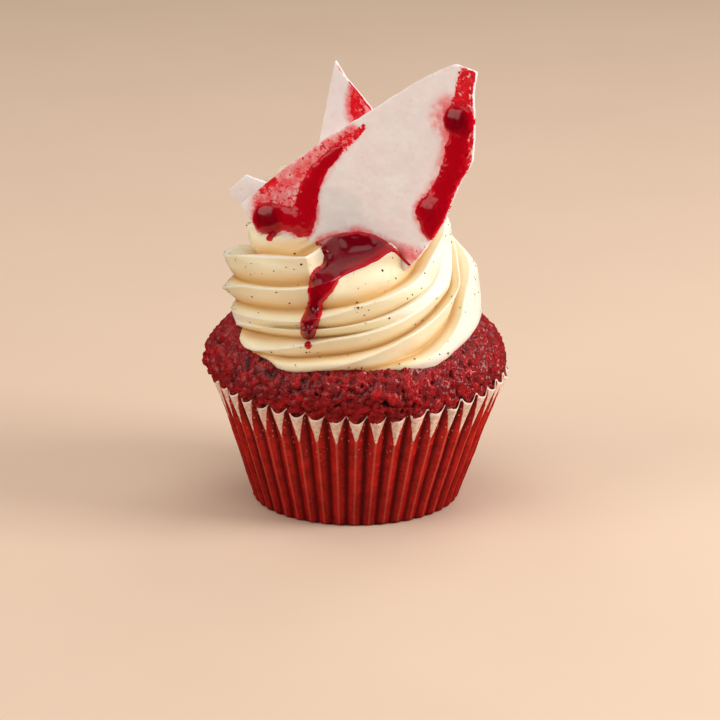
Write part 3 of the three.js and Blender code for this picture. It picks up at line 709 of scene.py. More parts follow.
# ---- Vanilla specks ----

SPECKS, CLUSTERED = 430, 9  # the clustered ones lie close together at the front
CLUSTER_ANGLE, CLUSTER_HEIGHT = (2.1, 1.1), (58.9, 0.45)  # middle and spread
SPECK_SIZES, SPECK_ODDS = [0.13, 0.19, 0.26, 0.33], [0.3, 0.36, 0.24, 0.10]


def speck_shape():
    """A flat grain: six points, which are a stretched octahedron's."""
    points = np.array([[1, 0, 0], [-1, 0, 0], [0, 1, 0], [0, -1, 0], [0, 0, 0.5], [0, 0, -0.5]])
    faces = np.array([
        [0, 2, 4], [2, 1, 4], [1, 3, 4], [3, 0, 4], [2, 0, 5], [1, 2, 5], [3, 1, 5], [0, 3, 5],
    ])
    return points, faces


def vanilla_specks():
    """Grains scattered over the swirl at random angles and heights, each turned at random in the surface and
    set half into it."""
    luck = np.random.default_rng(41)
    angle = luck.uniform(-180, 180, SPECKS)
    height = luck.uniform(44, SWIRL_TOP - 3, SPECKS)
    height[:CLUSTERED] = luck.normal(*CLUSTER_HEIGHT, CLUSTERED)
    angle[:CLUSTERED] = luck.normal(*CLUSTER_ANGLE, CLUSTERED)
    height = np.maximum(height, foot_height(angle) + 1)
    place = swirl_point(angle, height)
    up = swirl_point(angle, height + 0.15) - place
    across = swirl_point(angle + 0.3, height) - place
    normal = np.cross(across, up)
    normal /= np.linalg.norm(normal, axis=1, keepdims=True)
    turn = luck.uniform(0, np.pi, SPECKS)[:, None]
    across /= np.linalg.norm(across, axis=1, keepdims=True)
    other = np.cross(normal, across)
    first = across * np.cos(turn) + other * np.sin(turn)
    second = np.cross(normal, first)
    size = luck.choice(SPECK_SIZES, SPECKS, p=SPECK_ODDS)
    long = size * luck.uniform(1, 1.6, SPECKS)
    points, faces = speck_shape()
    axes = np.stack([first * long[:, None], second * size[:, None], normal * size[:, None]], 1)
    grains = place[:, None] + np.einsum("pk,nkc->npc", points, axes)
    faces = (np.arange(SPECKS)[:, None, None] * len(points) + faces[None]).reshape(-1, 3)
    return piece("vanilla_specks", grains.reshape(-1, 3), np.zeros((0, 4), int), faces)


# ---- Shards of sugar glass ----

OUTLINE_STEP, RING_STEP = 0.42, 0.62  # spacing of the points round a shard, and of its rings
FACE_INSET, FACE_DEPTH = 0.42, 0.04  # a flat face ends this far from the outline, and lies this deep
# The rounded edge from the front face to the back one: how far inside the outline, and how far back.
SHARD_EDGE = [
    (0.22, 0.04), (0.07, 0.16), (0.0, 0.38), (0.04, 0.65), (0.0, 0.92), (0.07, 1.14), (0.22, 1.26),
]


def on_shard(name, across, up, out):
    """A point of a shard's own frame, in the cupcake's frame."""
    anchor, x, y, z = shard_axes(name)
    return anchor + np.multiply.outer(across, x) + np.multiply.outer(up, y) + np.multiply.outer(out, z)


def even_outline(corners, spacing):
    """Points at even spacing along a closed outline, with each corner rounded a little by a running mean."""
    loop = np.array([*corners, corners[0]], float)
    run = np.concatenate([[0], np.cumsum(np.linalg.norm(np.diff(loop, axis=0), axis=1))])
    count = int(round(run[-1] / spacing))
    at = np.arange(count) / count * run[-1]
    line = np.column_stack([np.interp(at, run, loop[:, 0]), np.interp(at, run, loop[:, 1])])
    return (np.roll(line, 1, 0) + 2 * line + np.roll(line, -1, 0)) / 4


def nearest_on_side(x, y, start, end):
    """Where on a straight side the place nearest to a point is, as a share of the side, and how far away."""
    (x0, y0), (x1, y1) = start, end
    long = (x1 - x0) ** 2 + (y1 - y0) ** 2
    share = np.clip(((x - x0) * (x1 - x0) + (y - y0) * (y1 - y0)) / long, 0, 1)
    return share, np.hypot(x - blend(x0, x1, share), y - blend(y0, y1, share))


def inside_outline(x, y, corners):
    """Distance to the nearest side of an outline, negative outside it."""
    nearest = np.full(np.shape(x), 99.0)
    inside = np.zeros(np.shape(x), bool)
    for (x0, y0), (x1, y1) in zip(corners, [*corners[1:], corners[0]]):
        nearest = np.minimum(nearest, nearest_on_side(x, y, (x0, y0), (x1, y1))[1])
        crosses = (y0 > y) != (y1 > y)
        level = x0 + (y - y0) * (x1 - x0) / (y1 - y0 if y1 != y0 else 1e-9)
        inside ^= crosses & (x < level)
    return np.where(inside, nearest, -nearest)


def stroke_depth(across, up, stroke):
    """How far inside a stroke a point is, in stroke radii: 1 on its line and 0 at its edge. A stroke is a
    line of points, each with a radius, and between two points the radius changes evenly."""
    deepest = np.full(np.shape(across), -9.0)
    for (*start, start_radius), (*end, end_radius) in zip(stroke[:-1], stroke[1:]):
        share, away = nearest_on_side(across, up, start, end)
        deepest = np.maximum(deepest, 1 - away / blend(start_radius, end_radius, share))
    return deepest


# Strokes of syrup on the front shard's face: across, up, radius.
LEFT_STREAK = [
    (-21.4, 28.6, 0.6), (-23.0, 27.2, 1.5), (-25.6, 24.4, 1.7), (-27.8, 21.6, 2.1), (-29.2, 18.0, 2.5),
    (-30.0, 14.4, 2.8), (-30.6, 10.6, 3.4), (-31.2, 8.4, 3.2),
]
LEFT_BLOB = [(-41.0, 8.6, 3.8), (-39.8, 8.8, 3.9)]
LEFT_LINK = [(-38.0, 9.4, 3.0), (-33.4, 9.2, 3.1)]
RIGHT_BLOB = [(10.0, 39.0, 3.8), (10.8, 38.9, 3.8)]
RIGHT_STREAK = [
    (10.6, 35.5, 2.4), (10.2, 31.5, 2.9), (9.6, 27.5, 3.0), (8.0, 23.2, 2.7), (6.2, 19.4, 3.0),
    (4.4, 15.6, 4.0), (4.8, 12.6, 3.0), (4.4, 10.6, 1.6),
]
STROKES = (LEFT_STREAK, LEFT_BLOB, LEFT_LINK, RIGHT_BLOB, RIGHT_STREAK)
# Strokes that only stain, in speckles, and soft pink ones, each with its strength.
SPECKLED = [
    ([(-15.2, 34.6, 1.1), (-18.6, 31.4, 1.7), (-22.0, 28.4, 2.4), (-26.0, 24.2, 2.6)], 0.72),
    ([(-42.6, 15.8, 1.9), (-39.5, 18.2, 1.7)], 0.8),
    ([(-37.5, 13.4, 2.6), (-33.0, 13.8, 3.0), (-31.6, 18.6, 2.6)], 0.5),
    (
        [(-44.0, 12.4, 2.5), (-38.0, 17.0, 4.2), (-31.0, 22.5, 4.0), (-23.5, 29.6, 2.6), (-19.0, 33.2, 1.6)],
        0.48,
    ),
    ([(12.4, 51.5, 3.4), (11.4, 47.0, 3.6), (11.0, 42.0, 3.8)], 0.80),
    ([(12.8, 36.0, 3.2), (12.2, 30.0, 3.8), (10.0, 22.0, 3.4), (6.4, 13.0, 2.8)], 0.72),
    ([(4.0, 8.8, 2.6), (1.6, 5.4, 2.6), (-0.4, 2.6, 1.6)], 0.42),
]
BLUSHES = [
    ([(8.2, 39.3, 7.6), (9.6, 34.0, 5.2), (8.0, 26.0, 4.5), (3.8, 16.0, 5.1)], 1.0),
    (
        [(-43.0, 12.0, 4.0), (-38.0, 16.6, 5.2), (-31.0, 22.0, 5.4), (-24.0, 28.4, 4.4), (-18.5, 33.0, 3.0)],
        1.0,
    ),
    ([(-38.0, 13.0, 4.4), (-31.6, 14.0, 5.2), (-29.0, 19.0, 4.4), (-25.0, 25.0, 3.4)], 0.8),
    ([(-26.0, 4.6, 2.4), (-15.4, 8.0, 3.0), (-5.0, 5.4, 2.6), (1.0, 4.0, 3.6)], 0.8),
]
# Strokes on the spike: a patch, and a line down its right edge.
SPIKE_PATCH = [(3.2, 20.8, 1.2), (4.0, 18.2, 2.3), (4.8, 15.2, 2.9), (5.6, 12.2, 2.8)]
SPIKE_EDGE = [(-0.4, 26.2, 0.5), (4.2, 20.6, 0.7), (8.2, 16.2, 0.8)]


def front_stain(across, up):
    """Marks of the front shard. Syrup is the most of all strokes: the depth in the thick ones, which runs
    out over their edges, and the strength of the speckled ones, eased at their edges. Blush, the soft pink
    halo, is the depth in wider strokes, or a narrow fringe round the thick ones where that is more."""
    thick = np.max([stroke_depth(across, up, stroke) for stroke in STROKES], axis=0)
    soaked = np.clip(thick * 3.0 + 0.75, 0, 1.4)
    speckled = [
        strength * smooth(stroke_depth(across, up, stroke), -0.25, 0.55)
        for stroke, strength in SPECKLED
    ]
    blush = [strength * np.clip(stroke_depth(across, up, stroke), 0, 1) for stroke, strength in BLUSHES]
    fringe = 0.62 * smooth(thick, -0.6, 0.0)
    return np.maximum(soaked, np.max(speckled, axis=0)), np.maximum(fringe, np.max(blush, axis=0))


def spike_stain(across, up):
    """Marks of the spike: one speckled patch, and a line along its right edge."""
    patch = stroke_depth(across, up, SPIKE_PATCH)
    edge = stroke_depth(across, up, SPIKE_EDGE)
    syrup = np.maximum(0.74 * smooth(patch, -0.2, 0.6), 0.9 * smooth(edge, -0.5, 0.4))
    return syrup, np.clip(patch + 0.6, 0, 1)


def no_stain(across, up):
    """Marks of a shard that stays white."""
    return np.zeros(np.shape(across)), np.zeros(np.shape(across))


def shard(name, stain, seed):
    """A plate of rings: each ring is the outline shrunk towards the middle. From the middle of the front
    face the rings widen to the outline, go round the rounded edge, and shrink again on the back. The faces
    are wavy by noise, and the outline is nibbled by noise along its edge. The stain fades from the front
    towards the back."""
    middle, corners = np.array(SHARDS[name][3], float), SHARDS[name][4]
    line = even_outline(corners, OUTLINE_STEP)
    spokes = line - middle
    long = np.linalg.norm(spokes, axis=1, keepdims=True)
    flat = np.column_stack([line, 0 * long])
    nibble = 0.12 * soft_noise(flat, 1.3, seed) + 0.10 * soft_noise(flat, 4, seed + 1)
    rim = middle + spokes * (1 + nibble[:, None] / long)
    steps = max(12, int(long.max() / RING_STEP))
    shares = np.linspace(1 / steps, 1, steps)[:, None, None]
    face = middle + (rim - middle) * (1 - FACE_INSET / long)[None] * shares
    edge_inset, edge_depth = np.array(SHARD_EDGE).T[..., None, None]
    edge = middle + (rim - middle) * (1 - edge_inset / long)
    flat_face = np.concatenate([face, np.zeros(face.shape[:-1] + (1,))], -1)
    front_waves = 0.10 * soft_noise(flat_face, 5, seed + 2) + 0.035 * soft_noise(flat_face, 1.1, seed + 3)
    back_waves = 0.12 * soft_noise(flat_face + [0, 0, 40], 5, seed + 4)
    front_out, back_out = -FACE_DEPTH, FACE_DEPTH - SHARD_THICKNESS
    places = np.concatenate([face, edge, face[::-1]])
    edge_out = -edge_depth[..., 0] + 0 * edge[..., 0]
    out = np.concatenate([front_waves + front_out, edge_out, (back_waves + back_out)[::-1]])
    rings = on_shard(name, places[..., 0], places[..., 1], out)
    front_middle, back_middle = on_shard(name, *middle, front_out), on_shard(name, *middle, back_out)
    points, quads, fans = closed_rings(rings, front_middle, back_middle)
    syrup, blush = stain(places[..., 0], places[..., 1])
    behind = np.clip(-out / SHARD_THICKNESS, 0, 1)
    paler = 1 - 0.8 * smooth(behind, 0.04, 0.25)
    syrup, blush = syrup * paler, blush * paler
    middle_marks = stain(middle[0], middle[1])
    marks = {
        "syrup": np.append(syrup, [middle_marks[0]] * 2),
        "blush": np.append(blush, [middle_marks[1]] * 2),
    }
    return piece(name.replace("shard", "sugar_shard"), points, quads, fans, marks)


# ---- Syrup ----

RIGHT_SWELLING = [(4.3, 15.4, 4.0), (4.6, 12.8, 3.2)]
# Beads on the front shard: the stroke, its thickness, and how ragged its edge is.
SHARD_BEADS = [
    (LEFT_STREAK, 0.38, 1.0), (LEFT_BLOB, 1.5, 0.2), (LEFT_LINK, 0.6, 0.6),
    (RIGHT_BLOB, 1.5, 0.2), (RIGHT_STREAK, 0.38, 1.0), (RIGHT_SWELLING, 0.9, 0.5),
]
SHARD_SPANS, SHARD_CELL = [(-47, 16), (2, 44)], 0.22  # of the grid over the shard: across, up, its cells
ROUNDING = 6  # the higher, the less beads flow together where they meet
SUNK = 0.02  # a bead starts this far under what it lies on
UNDER_FACE, UNDER_BED = 0.9, 0.7  # how deep the syrup's hidden underside lies in the shard and the frosting


def flat_grid(spans, cell):
    """Places across and up on a grid of square cells, and the same places as points for noise."""
    across, up = np.meshgrid(*[np.arange(*span, cell) for span in spans])
    return across, up, np.stack([across, up, 0 * across], -1)


def flowed_together(heights):
    """One height for several beads: the logarithm of the sum of their exponentials, which is close to the
    highest of them and rounds off the valleys between them."""
    return np.log(np.sum(np.exp(ROUNDING * np.array(heights)), axis=0)) / ROUNDING


def bead(depth, thickness):
    """Height of a bead of syrup from how deep inside its edge a point is: a round shoulder by a square root
    inside, and a steep slope down into what it lies on outside."""
    inside = thickness * np.sqrt(np.clip(depth * (2 - np.clip(depth, 0, 1)), 0, 1))
    return np.where(depth > 0, inside, 1.6 * np.maximum(depth, -0.6)) - SUNK


def syrup_on_shard():
    """A grid over the front shard's face in its own plane. Its height is the highest of the beads of all
    strokes, blended where they meet and kept off the shard's edge, and only cells that come out of the face
    are kept."""
    across, up, flat = flat_grid(SHARD_SPANS, SHARD_CELL)
    ragged = 0.13 * soft_noise(flat, 1.6, 51) + 0.10 * soft_noise(flat, 0.7, 52)
    height = flowed_together([
        bead(stroke_depth(across, up, stroke) + share * ragged, thickness)
        for stroke, thickness, share in SHARD_BEADS
    ]) - SUNK
    height = height + 0.03 * soft_noise(flat, 2.4, 53) * (height > 0.2)
    from_edge = inside_outline(across, up, SHARDS["shard_front"][4])
    height = np.minimum(height, 1.3 * (from_edge - 0.15))
    out = np.maximum(height, -0.5)
    top = on_shard("shard_front", across, up, out)
    bottom = on_shard("shard_front", across, up, np.full(across.shape, -UNDER_FACE))
    points, quads = closed_film(top, bottom, cells_with(out > 0))
    return piece("syrup_on_shard", points, quads, None, {"thick": np.tile(np.clip(out, 0, 3).ravel(), 2)})


# The syrup's pool and drip lie on shelves and walls alike, so they are worked out in a slanted frame, which
# faces the front and leans back: its rows are the directions across, up the slope and back.
SLANT_DEGREES = 17.26  # which is also how steeply the camera looks down
SLANT = math.radians(SLANT_DEGREES)
SLANTED = np.array([
    [1, 0, 0],
    [0, math.sin(SLANT), math.cos(SLANT)],
    [0, math.cos(SLANT), -math.sin(SLANT)],
])
FILM_SPANS, FILM_CELL = [(-25, 14.5), (35.5, 67.5)], 0.25  # of the grid over that frame
SKIN_ROUNDS = 350  # how many times the film's skin is smoothed
POOL_SHOULDER = 1.3  # width of the round shoulder inside the pool's shore
# The pool's shore, from the arc up the shard round by the second ridge's crest, across and up the slope.
POOL_SHORE = [
    (-11.3, 62.8), (-8.0, 64.1), (-4.6, 65.0), (-0.3, 65.4), (3.9, 64.5), (6.4, 63.0), (8.6, 60.9),
    (4.7, 58.2), (0.9, 56.3), (-2.9, 54.8), (-5.4, 53.4), (-6.2, 51.9), (-9.2, 50.8), (-12.2, 52.0),
    (-12.1, 53.2), (-11.2, 54.9), (-9.2, 57.0), (-8.6, 59.4), (-9.6, 61.4),
]
# Strokes of syrup in the same frame: across, up the slope, radius.
DRIP = [(-7.4, 55.0, 2.9), (-8.3, 53.8, 3.3), (-9.1, 52.3, 3.3), (-10.0, 50.5, 2.65), (-10.7, 47.9, 1.66),
        (-11.3, 45.2, 2.15), (-12.2, 43.0, 2.1), (-12.5, 40.5, 1.8)]
RUN_ALONG_SHARD = [(7.4, 61.6, 0.5), (9.2, 60.0, 0.42), (11.0, 58.2, 0.36), (12.5, 56.8, 0.3)]
DROPLET = [(-12.6, 37.4, 0.85), (-12.5, 37.2, 0.8)]
TEARDROP = [(-22.3, 64.1, 0.85), (-21.1, 65.6, 0.45)]


def crossed(first, second):
    """The cross product of the flat parts of two fields of vectors."""
    return first[..., 0] * second[..., 1] - first[..., 1] * second[..., 0]


def swirl_depth(across, up):
    """How far back the swirl lies in the slanted frame. Points close together on it fall into the grid's
    cells and the nearest in each counts, then Newton's steps in angle and height move it to the cell's
    own place."""
    angle, height = np.meshgrid(np.arange(-84, 40, 0.25), np.arange(46, 75, 0.04), indexing="ij")
    flat = (swirl_point(angle, height) @ SLANTED.T).reshape(-1, 3)
    step = across[0, 1] - across[0, 0]
    column, row = np.rint((flat[:, :2] - [across[0, 0], up[0, 0]]) / step).astype(int).T
    fits = np.flatnonzero((column >= 0) & (column < across.shape[1]) & (row >= 0) & (row < across.shape[0]))
    fits = fits[np.argsort(-flat[fits, 2])]
    nearest = np.full(across.shape, -1)
    nearest[row[fits], column[fits]] = fits
    for shift, axis in ((1, 0), (-1, 0), (1, 1), (-1, 1)) * 3:
        nearest = np.where(nearest < 0, np.roll(nearest, shift, axis), nearest)
    angle, height, found = angle.ravel()[nearest], height.ravel()[nearest], flat[nearest]
    place = found
    angle_step, height_step = 0.05, 0.01
    for _ in range(5):
        by_angle = (swirl_point(angle + angle_step, height) @ SLANTED.T - place) / angle_step
        by_height = (swirl_point(angle, height + height_step) @ SLANTED.T - place) / height_step
        off = np.stack([across, up], -1) - place[..., :2]
        area = crossed(by_angle, by_height)
        area = np.where(np.abs(area) < 1e-3, 1e-3, area)
        angle = angle + np.clip(crossed(off, by_height) / area, -0.4, 0.4)
        height = height + np.clip(crossed(by_angle, off) / area, -0.06, 0.06)
        place = swirl_point(angle, height) @ SLANTED.T
    close = np.hypot(place[..., 0] - across, place[..., 1] - up) < 0.06
    return np.where(close & (place[..., 2] < found[..., 2] + 1), place[..., 2], found[..., 2])


def shard_depth(across, up):
    """How far back the front shard's face lies in the slanted frame, and a large number beside it."""
    anchor, x, y, out = shard_axes("shard_front")
    start = np.stack([across, up], -1) @ SLANTED[:2]
    back = ((anchor - start) @ out) / (SLANTED[2] @ out)
    spot = start + back[..., None] * SLANTED[2] - anchor
    return np.where(inside_outline(spot @ x, spot @ y, SHARDS["shard_front"][4]) > 0, back, 1e3)


def four_neighbours(padded):
    """The sum of the four neighbours of every cell of a grid that has one more cell on each side."""
    return padded[:-2, 1:-1] + padded[2:, 1:-1] + padded[1:-1, :-2] + padded[1:-1, 2:]


def syrup_film():
    """A grid over the slanted frame. The film hangs like a skin over the bed of frosting and shard: each
    point takes the mean of its wet neighbours, again and again, but never sinks into the bed. On top of
    it lie the beads of the pool, the drip and the drops, blended where they meet."""
    across, up, flat = flat_grid(FILM_SPANS, FILM_CELL)
    bed = np.minimum(swirl_depth(across, up), shard_depth(across, up))
    ragged = 0.06 * soft_noise(flat, 1.5, 55) + 0.04 * soft_noise(flat, 0.7, 56)
    pool = inside_outline(across, up, POOL_SHORE) / POOL_SHOULDER + ragged
    drip, run, droplet, teardrop = [
        stroke_depth(across, up, stroke) + ragged
        for stroke in (DRIP, RUN_ALONG_SHARD, DROPLET, TEARDROP)
    ]
    wet = np.max([pool, drip, run, droplet, teardrop], axis=0)
    wet_neighbours = np.maximum(four_neighbours(np.pad((wet > 0).astype(float), 1)), 1)
    film = bed
    for _ in range(SKIN_ROUNDS):
        mean = four_neighbours(np.pad(np.where(wet > 0, film, 0), 1)) / wet_neighbours
        film = np.where(wet > 0.2, np.minimum(bed, mean), bed)
    bulb = np.exp(-((up - 40.8) / 1.6) ** 2)  # the drip's thick end
    out = flowed_together([
        bead(pool, 0.9),
        bead(drip, 1.25 + 0.5 * bulb),
        bead(run, 0.3),
        bead(droplet, 0.8),
        bead(teardrop, 0.5),
    ])
    out = out + 0.05 * soft_noise(flat, 2.6, 57) * (out > 0.2)
    top = np.stack([across, up, film - np.maximum(out, -0.45)], -1) @ SLANTED
    bottom = np.stack([across, up, bed + UNDER_BED], -1) @ SLANTED
    points, quads = closed_film(top, bottom, cells_with(out > 0))
    thick = bed - film + np.maximum(out, 0)
    return piece("syrup_film", points, quads, None, {"thick": np.tile(thick.ravel(), 2)})


# ---- Finishes ----

def paint(red, green, blue):
    """A linear colour from the three screen values."""
    values = np.array([red, green, blue]) / 255
    return (*np.where(values > 0.04045, ((values + 0.055) / 1.055) ** 2.4, values / 12.92), 1.0)


class Finish:
    """A node material. Each method adds a node and gives the output to link on."""

    def __init__(self, name, **sockets):
        self.material = bpy.data.materials.new(name)
        self.material.use_nodes = True
        self.tree = self.material.node_tree
        self.shader = self.tree.nodes["Principled BSDF"]
        self.place = self.tree.nodes.new("ShaderNodeTexCoord").outputs["Object"]
        for socket, value in sockets.items():
            self.put(self.shader.inputs[socket.replace("_", " ")], value)

    def put(self, socket, value):
        """Links an output to a socket, or sets the socket to a plain value."""
        if isinstance(value, bpy.types.NodeSocket):
            self.tree.links.new(value, socket)
        else:
            socket.default_value = value

    def mark(self, name):
        """The number that a piece's points carry under this name."""
        node = self.tree.nodes.new("ShaderNodeAttribute")
        node.attribute_name = name
        return node.outputs["Fac"]

    def stretched(self, x, y, z, offset=0.0):
        """The place, with each direction's pattern made this many times finer."""
        node = self.tree.nodes.new("ShaderNodeMapping")
        node.inputs["Scale"].default_value = (x, y, z)
        node.inputs["Location"].default_value = (offset, offset, offset)
        self.put(node.inputs["Vector"], self.place)
        return node.outputs["Vector"]

    def noise(self, size, detail=3.0, rough=0.55, place=None):
        """Noise around 0.5 with features of this size in millimetres."""
        node = self.tree.nodes.new("ShaderNodeTexNoise")
        self.put(node.inputs["Vector"], place or self.place)
        node.inputs["Scale"].default_value = 1 / (size * MM)
        node.inputs["Detail"].default_value = detail
        node.inputs["Roughness"].default_value = rough
        return node.outputs["Fac"]

    def cells(self, size, place=None):
        """Distance to the nearest of points scattered this far apart, in their own spacing."""
        node = self.tree.nodes.new("ShaderNodeTexVoronoi")
        self.put(node.inputs["Vector"], place or self.place)
        node.inputs["Scale"].default_value = 1 / (size * MM)
        return node.outputs["Distance"]

    def spread(self, value, low, high, to_low=0.0, to_high=1.0, even=False):
        """The value's share of the way from low to high, eased at both ends, between two others."""
        node = self.tree.nodes.new("ShaderNodeMapRange")
        node.interpolation_type = "LINEAR" if even else "SMOOTHSTEP"
        ends = {"From Min": low, "From Max": high, "To Min": to_low, "To Max": to_high}
        for socket, number in ends.items():
            node.inputs[socket].default_value = number
        self.put(node.inputs["Value"], value)
        return node.outputs["Result"]

    def math(self, operation, first, second):
        """Two numbers added, multiplied and so on."""
        node = self.tree.nodes.new("ShaderNodeMath")
        node.operation = operation
        self.put(node.inputs[0], first)
        self.put(node.inputs[1], second)
        return node.outputs[0]

    def mixed(self, share, first, second):
        """A number that goes from the first to the second as the share rises."""
        node = self.tree.nodes.new("ShaderNodeMix")
        self.put(node.inputs[0], share)
        self.put(node.inputs[2], first)
        self.put(node.inputs[3], second)
        return node.outputs[0]

    def mix(self, share, first, second):
        """A colour that goes from the first to the second as the share rises."""
        node = self.tree.nodes.new("ShaderNodeMix")
        node.data_type = "RGBA"
        factor = [socket for socket in node.inputs if socket.name == "Factor" and socket.enabled][0]
        colours = [socket for socket in node.inputs if socket.name in "AB" and socket.enabled]
        self.put(factor, share)
        self.put(colours[0], first)
        self.put(colours[1], second)
        return [socket for socket in node.outputs if socket.enabled][0]

    def bumps(self, *layers):
        """Fine relief for the shader: pairs of a height from 0 to 1 and its depth in millimetres."""
        normal = None
        for height, depth in layers:
            node = self.tree.nodes.new("ShaderNodeBump")
            node.inputs["Distance"].default_value = depth * MM
            self.put(node.inputs["Height"], height)
            if normal is not None:
                self.put(node.inputs["Normal"], normal)
            normal = node.outputs["Normal"]
        self.put(self.shader.inputs["Normal"], normal)

    def colour(self, base, *coats):
        """Sets the shader's colour: a base one, and coats over it, each a cover from 0 to 1 and a colour."""
        for cover, coat in coats:
            base = self.mix(cover, base, coat)
        self.put(self.shader.inputs["Base Color"], base)

    def roughness(self, value):
        """Sets the shader's roughness."""
        self.put(self.shader.inputs["Roughness"], value)


def soaked_paper():
    """Brick red, oil-soaked paper, finely grained and darker lower down, with painted shade darkening the
    creases and a painted highlight making the outward folds paler. From the rim a dry pale patch with small
    red ticks runs down each outward fold to a ragged point, with pale specks below it, and the cut edge is
    pale."""
    finish = Finish("soaked_paper", Specular_IOR_Level=0.3)
    crease, below = finish.mark("crease"), finish.mark("below_rim")
    ragged = finish.math("SUBTRACT", finish.noise(1.2, 4, 0.6), 0.5)
    dryness = finish.math("ADD", finish.mark("dryness"), finish.math("MULTIPLY", ragged, 0.25))
    dry = finish.spread(dryness, 0.0, 0.08)
    ticks = finish.spread(finish.cells(1.3, finish.stretched(1, 1, 1.8)), 0.10, 0.20, 0.25, 1.0)
    low = finish.spread(finish.mark("dryness"), 0.35, 0.15)
    dry = finish.math("MULTIPLY", dry, finish.mixed(low, 1.0, ticks))
    mottled = finish.noise(3.2, 5, 0.6)
    grain = finish.noise(0.45, 3, 0.6, finish.stretched(1, 1, 0.6, 0.04))
    flecks = finish.spread(finish.cells(1.15, finish.stretched(1, 1, 0.8, 0.02)), 0.18, 0.10)
    near_rim = finish.spread(below, 14, 6)
    fibres = finish.spread(finish.noise(0.9, 3), 0.35, 0.7)
    pale = finish.mix(fibres, paint(214, 178, 160), paint(240, 219, 203))
    edge = finish.spread(below, 0.42, 0.16)
    finish.colour(
        paint(150, 6, 6),
        (finish.spread(mottled, 0.35, 0.68), paint(192, 20, 14)),
        (finish.spread(grain, 0.46, 0.72, 0.0, 0.4), paint(210, 58, 44)),
        # Painted shade: deep dark red in each crease between the folds.
        (finish.spread(crease, 0.45, 1.0), paint(92, 2, 4)),
        # Painted highlight: a paler pink line along the ridge of each outward fold.
        (finish.spread(crease, 0.20, 0.0, 0.0, 0.6), paint(222, 104, 82)),
        (finish.spread(below, 12, 26, 0.0, 0.3), paint(110, 10, 10)),
        (finish.math("MULTIPLY", flecks, near_rim), paint(212, 152, 134)),
        (dry, pale),
        (edge, paint(244, 224, 208)),
    )
    finish.roughness(finish.spread(dry, 0.0, 1.0, 0.36, 0.72, True))
    ripple = finish.noise(1.7, 2, 0.5, finish.stretched(0.5, 0.5, 2.0))
    finish.bumps((ripple, 0.22), (finish.noise(0.35, 2), 0.05))
    return finish.material


def red_crumb():
    """Moist red crumb: deep red on the lumps, with painted shade making the pores and hollows nearly black,
    and wet and shiny here and there.
    """
    finish = Finish("red_crumb", Subsurface_Weight=0.15, Subsurface_Radius=(0.9, 0.2, 0.12),
                    Subsurface_Scale=0.0012, Specular_IOR_Level=0.38, Coat_Weight=0.35, Coat_Roughness=0.12)
    raised = finish.mark("raised")
    tone = finish.noise(2.6, 5, 0.6)
    fine = finish.noise(0.5, 4, 0.7)
    finish.colour(
        paint(128, 0, 8),
        (finish.spread(tone, 0.35, 0.7), paint(184, 2, 14)),
        (finish.spread(fine, 0.5, 0.8, 0.0, 0.25), paint(188, 10, 24)),
        # Painted shade: the lower the crumb's relief, the nearer to black, so pores and hollows look shaded.
        (finish.spread(raised, 0.2, -0.8), paint(46, 0, 2)),
    )
    wet = finish.spread(finish.noise(0.8, 3, 0.6, finish.stretched(1, 1, 1, 0.05)), 0.44, 0.62)
    finish.roughness(finish.spread(wet, 0.0, 1.0, 0.9, 0.12, True))
    pits = finish.spread(finish.cells(0.55), 0.1, 0.6)
    finish.bumps((pits, 0.18), (fine, 0.20), (finish.noise(0.16, 2), 0.05))
    return finish.material


def cream_cheese():
    """Cream frosting: soft and slightly see-through, a little deeper in colour here and there, with painted
    shade making the grooves golden and a painted highlight making the crests palest, and a very fine grain
    of sugar."""
    finish = Finish("cream_cheese", Subsurface_Weight=0.35, Subsurface_Radius=(1.0, 0.93, 0.80),
                    Subsurface_Scale=0.0009, Coat_Weight=0.1, Coat_Roughness=0.3)
    tone = finish.noise(9, 3, 0.5)
    groove = finish.mark("groove")
    finish.colour(
        paint(249, 235, 200),
        (finish.spread(tone, 0.3, 0.7), paint(252, 241, 210)),
        # Painted shade: golden tan, the deeper the groove the more.
        (finish.spread(groove, 0.30, 1.0), paint(228, 180, 106)),
        # Painted highlight: palest near-white along the crests.
        (finish.spread(groove, 0.10, 0.0), paint(255, 249, 234)),
    )
    finish.roughness(finish.spread(finish.noise(2.0, 3), 0.3, 0.7, 0.36, 0.5))
    drag = finish.noise(1.4, 3, 0.5, finish.stretched(0.6, 0.6, 1.8))
    finish.bumps((drag, 0.10), (finish.noise(0.25, 2), 0.02))
    return finish.material


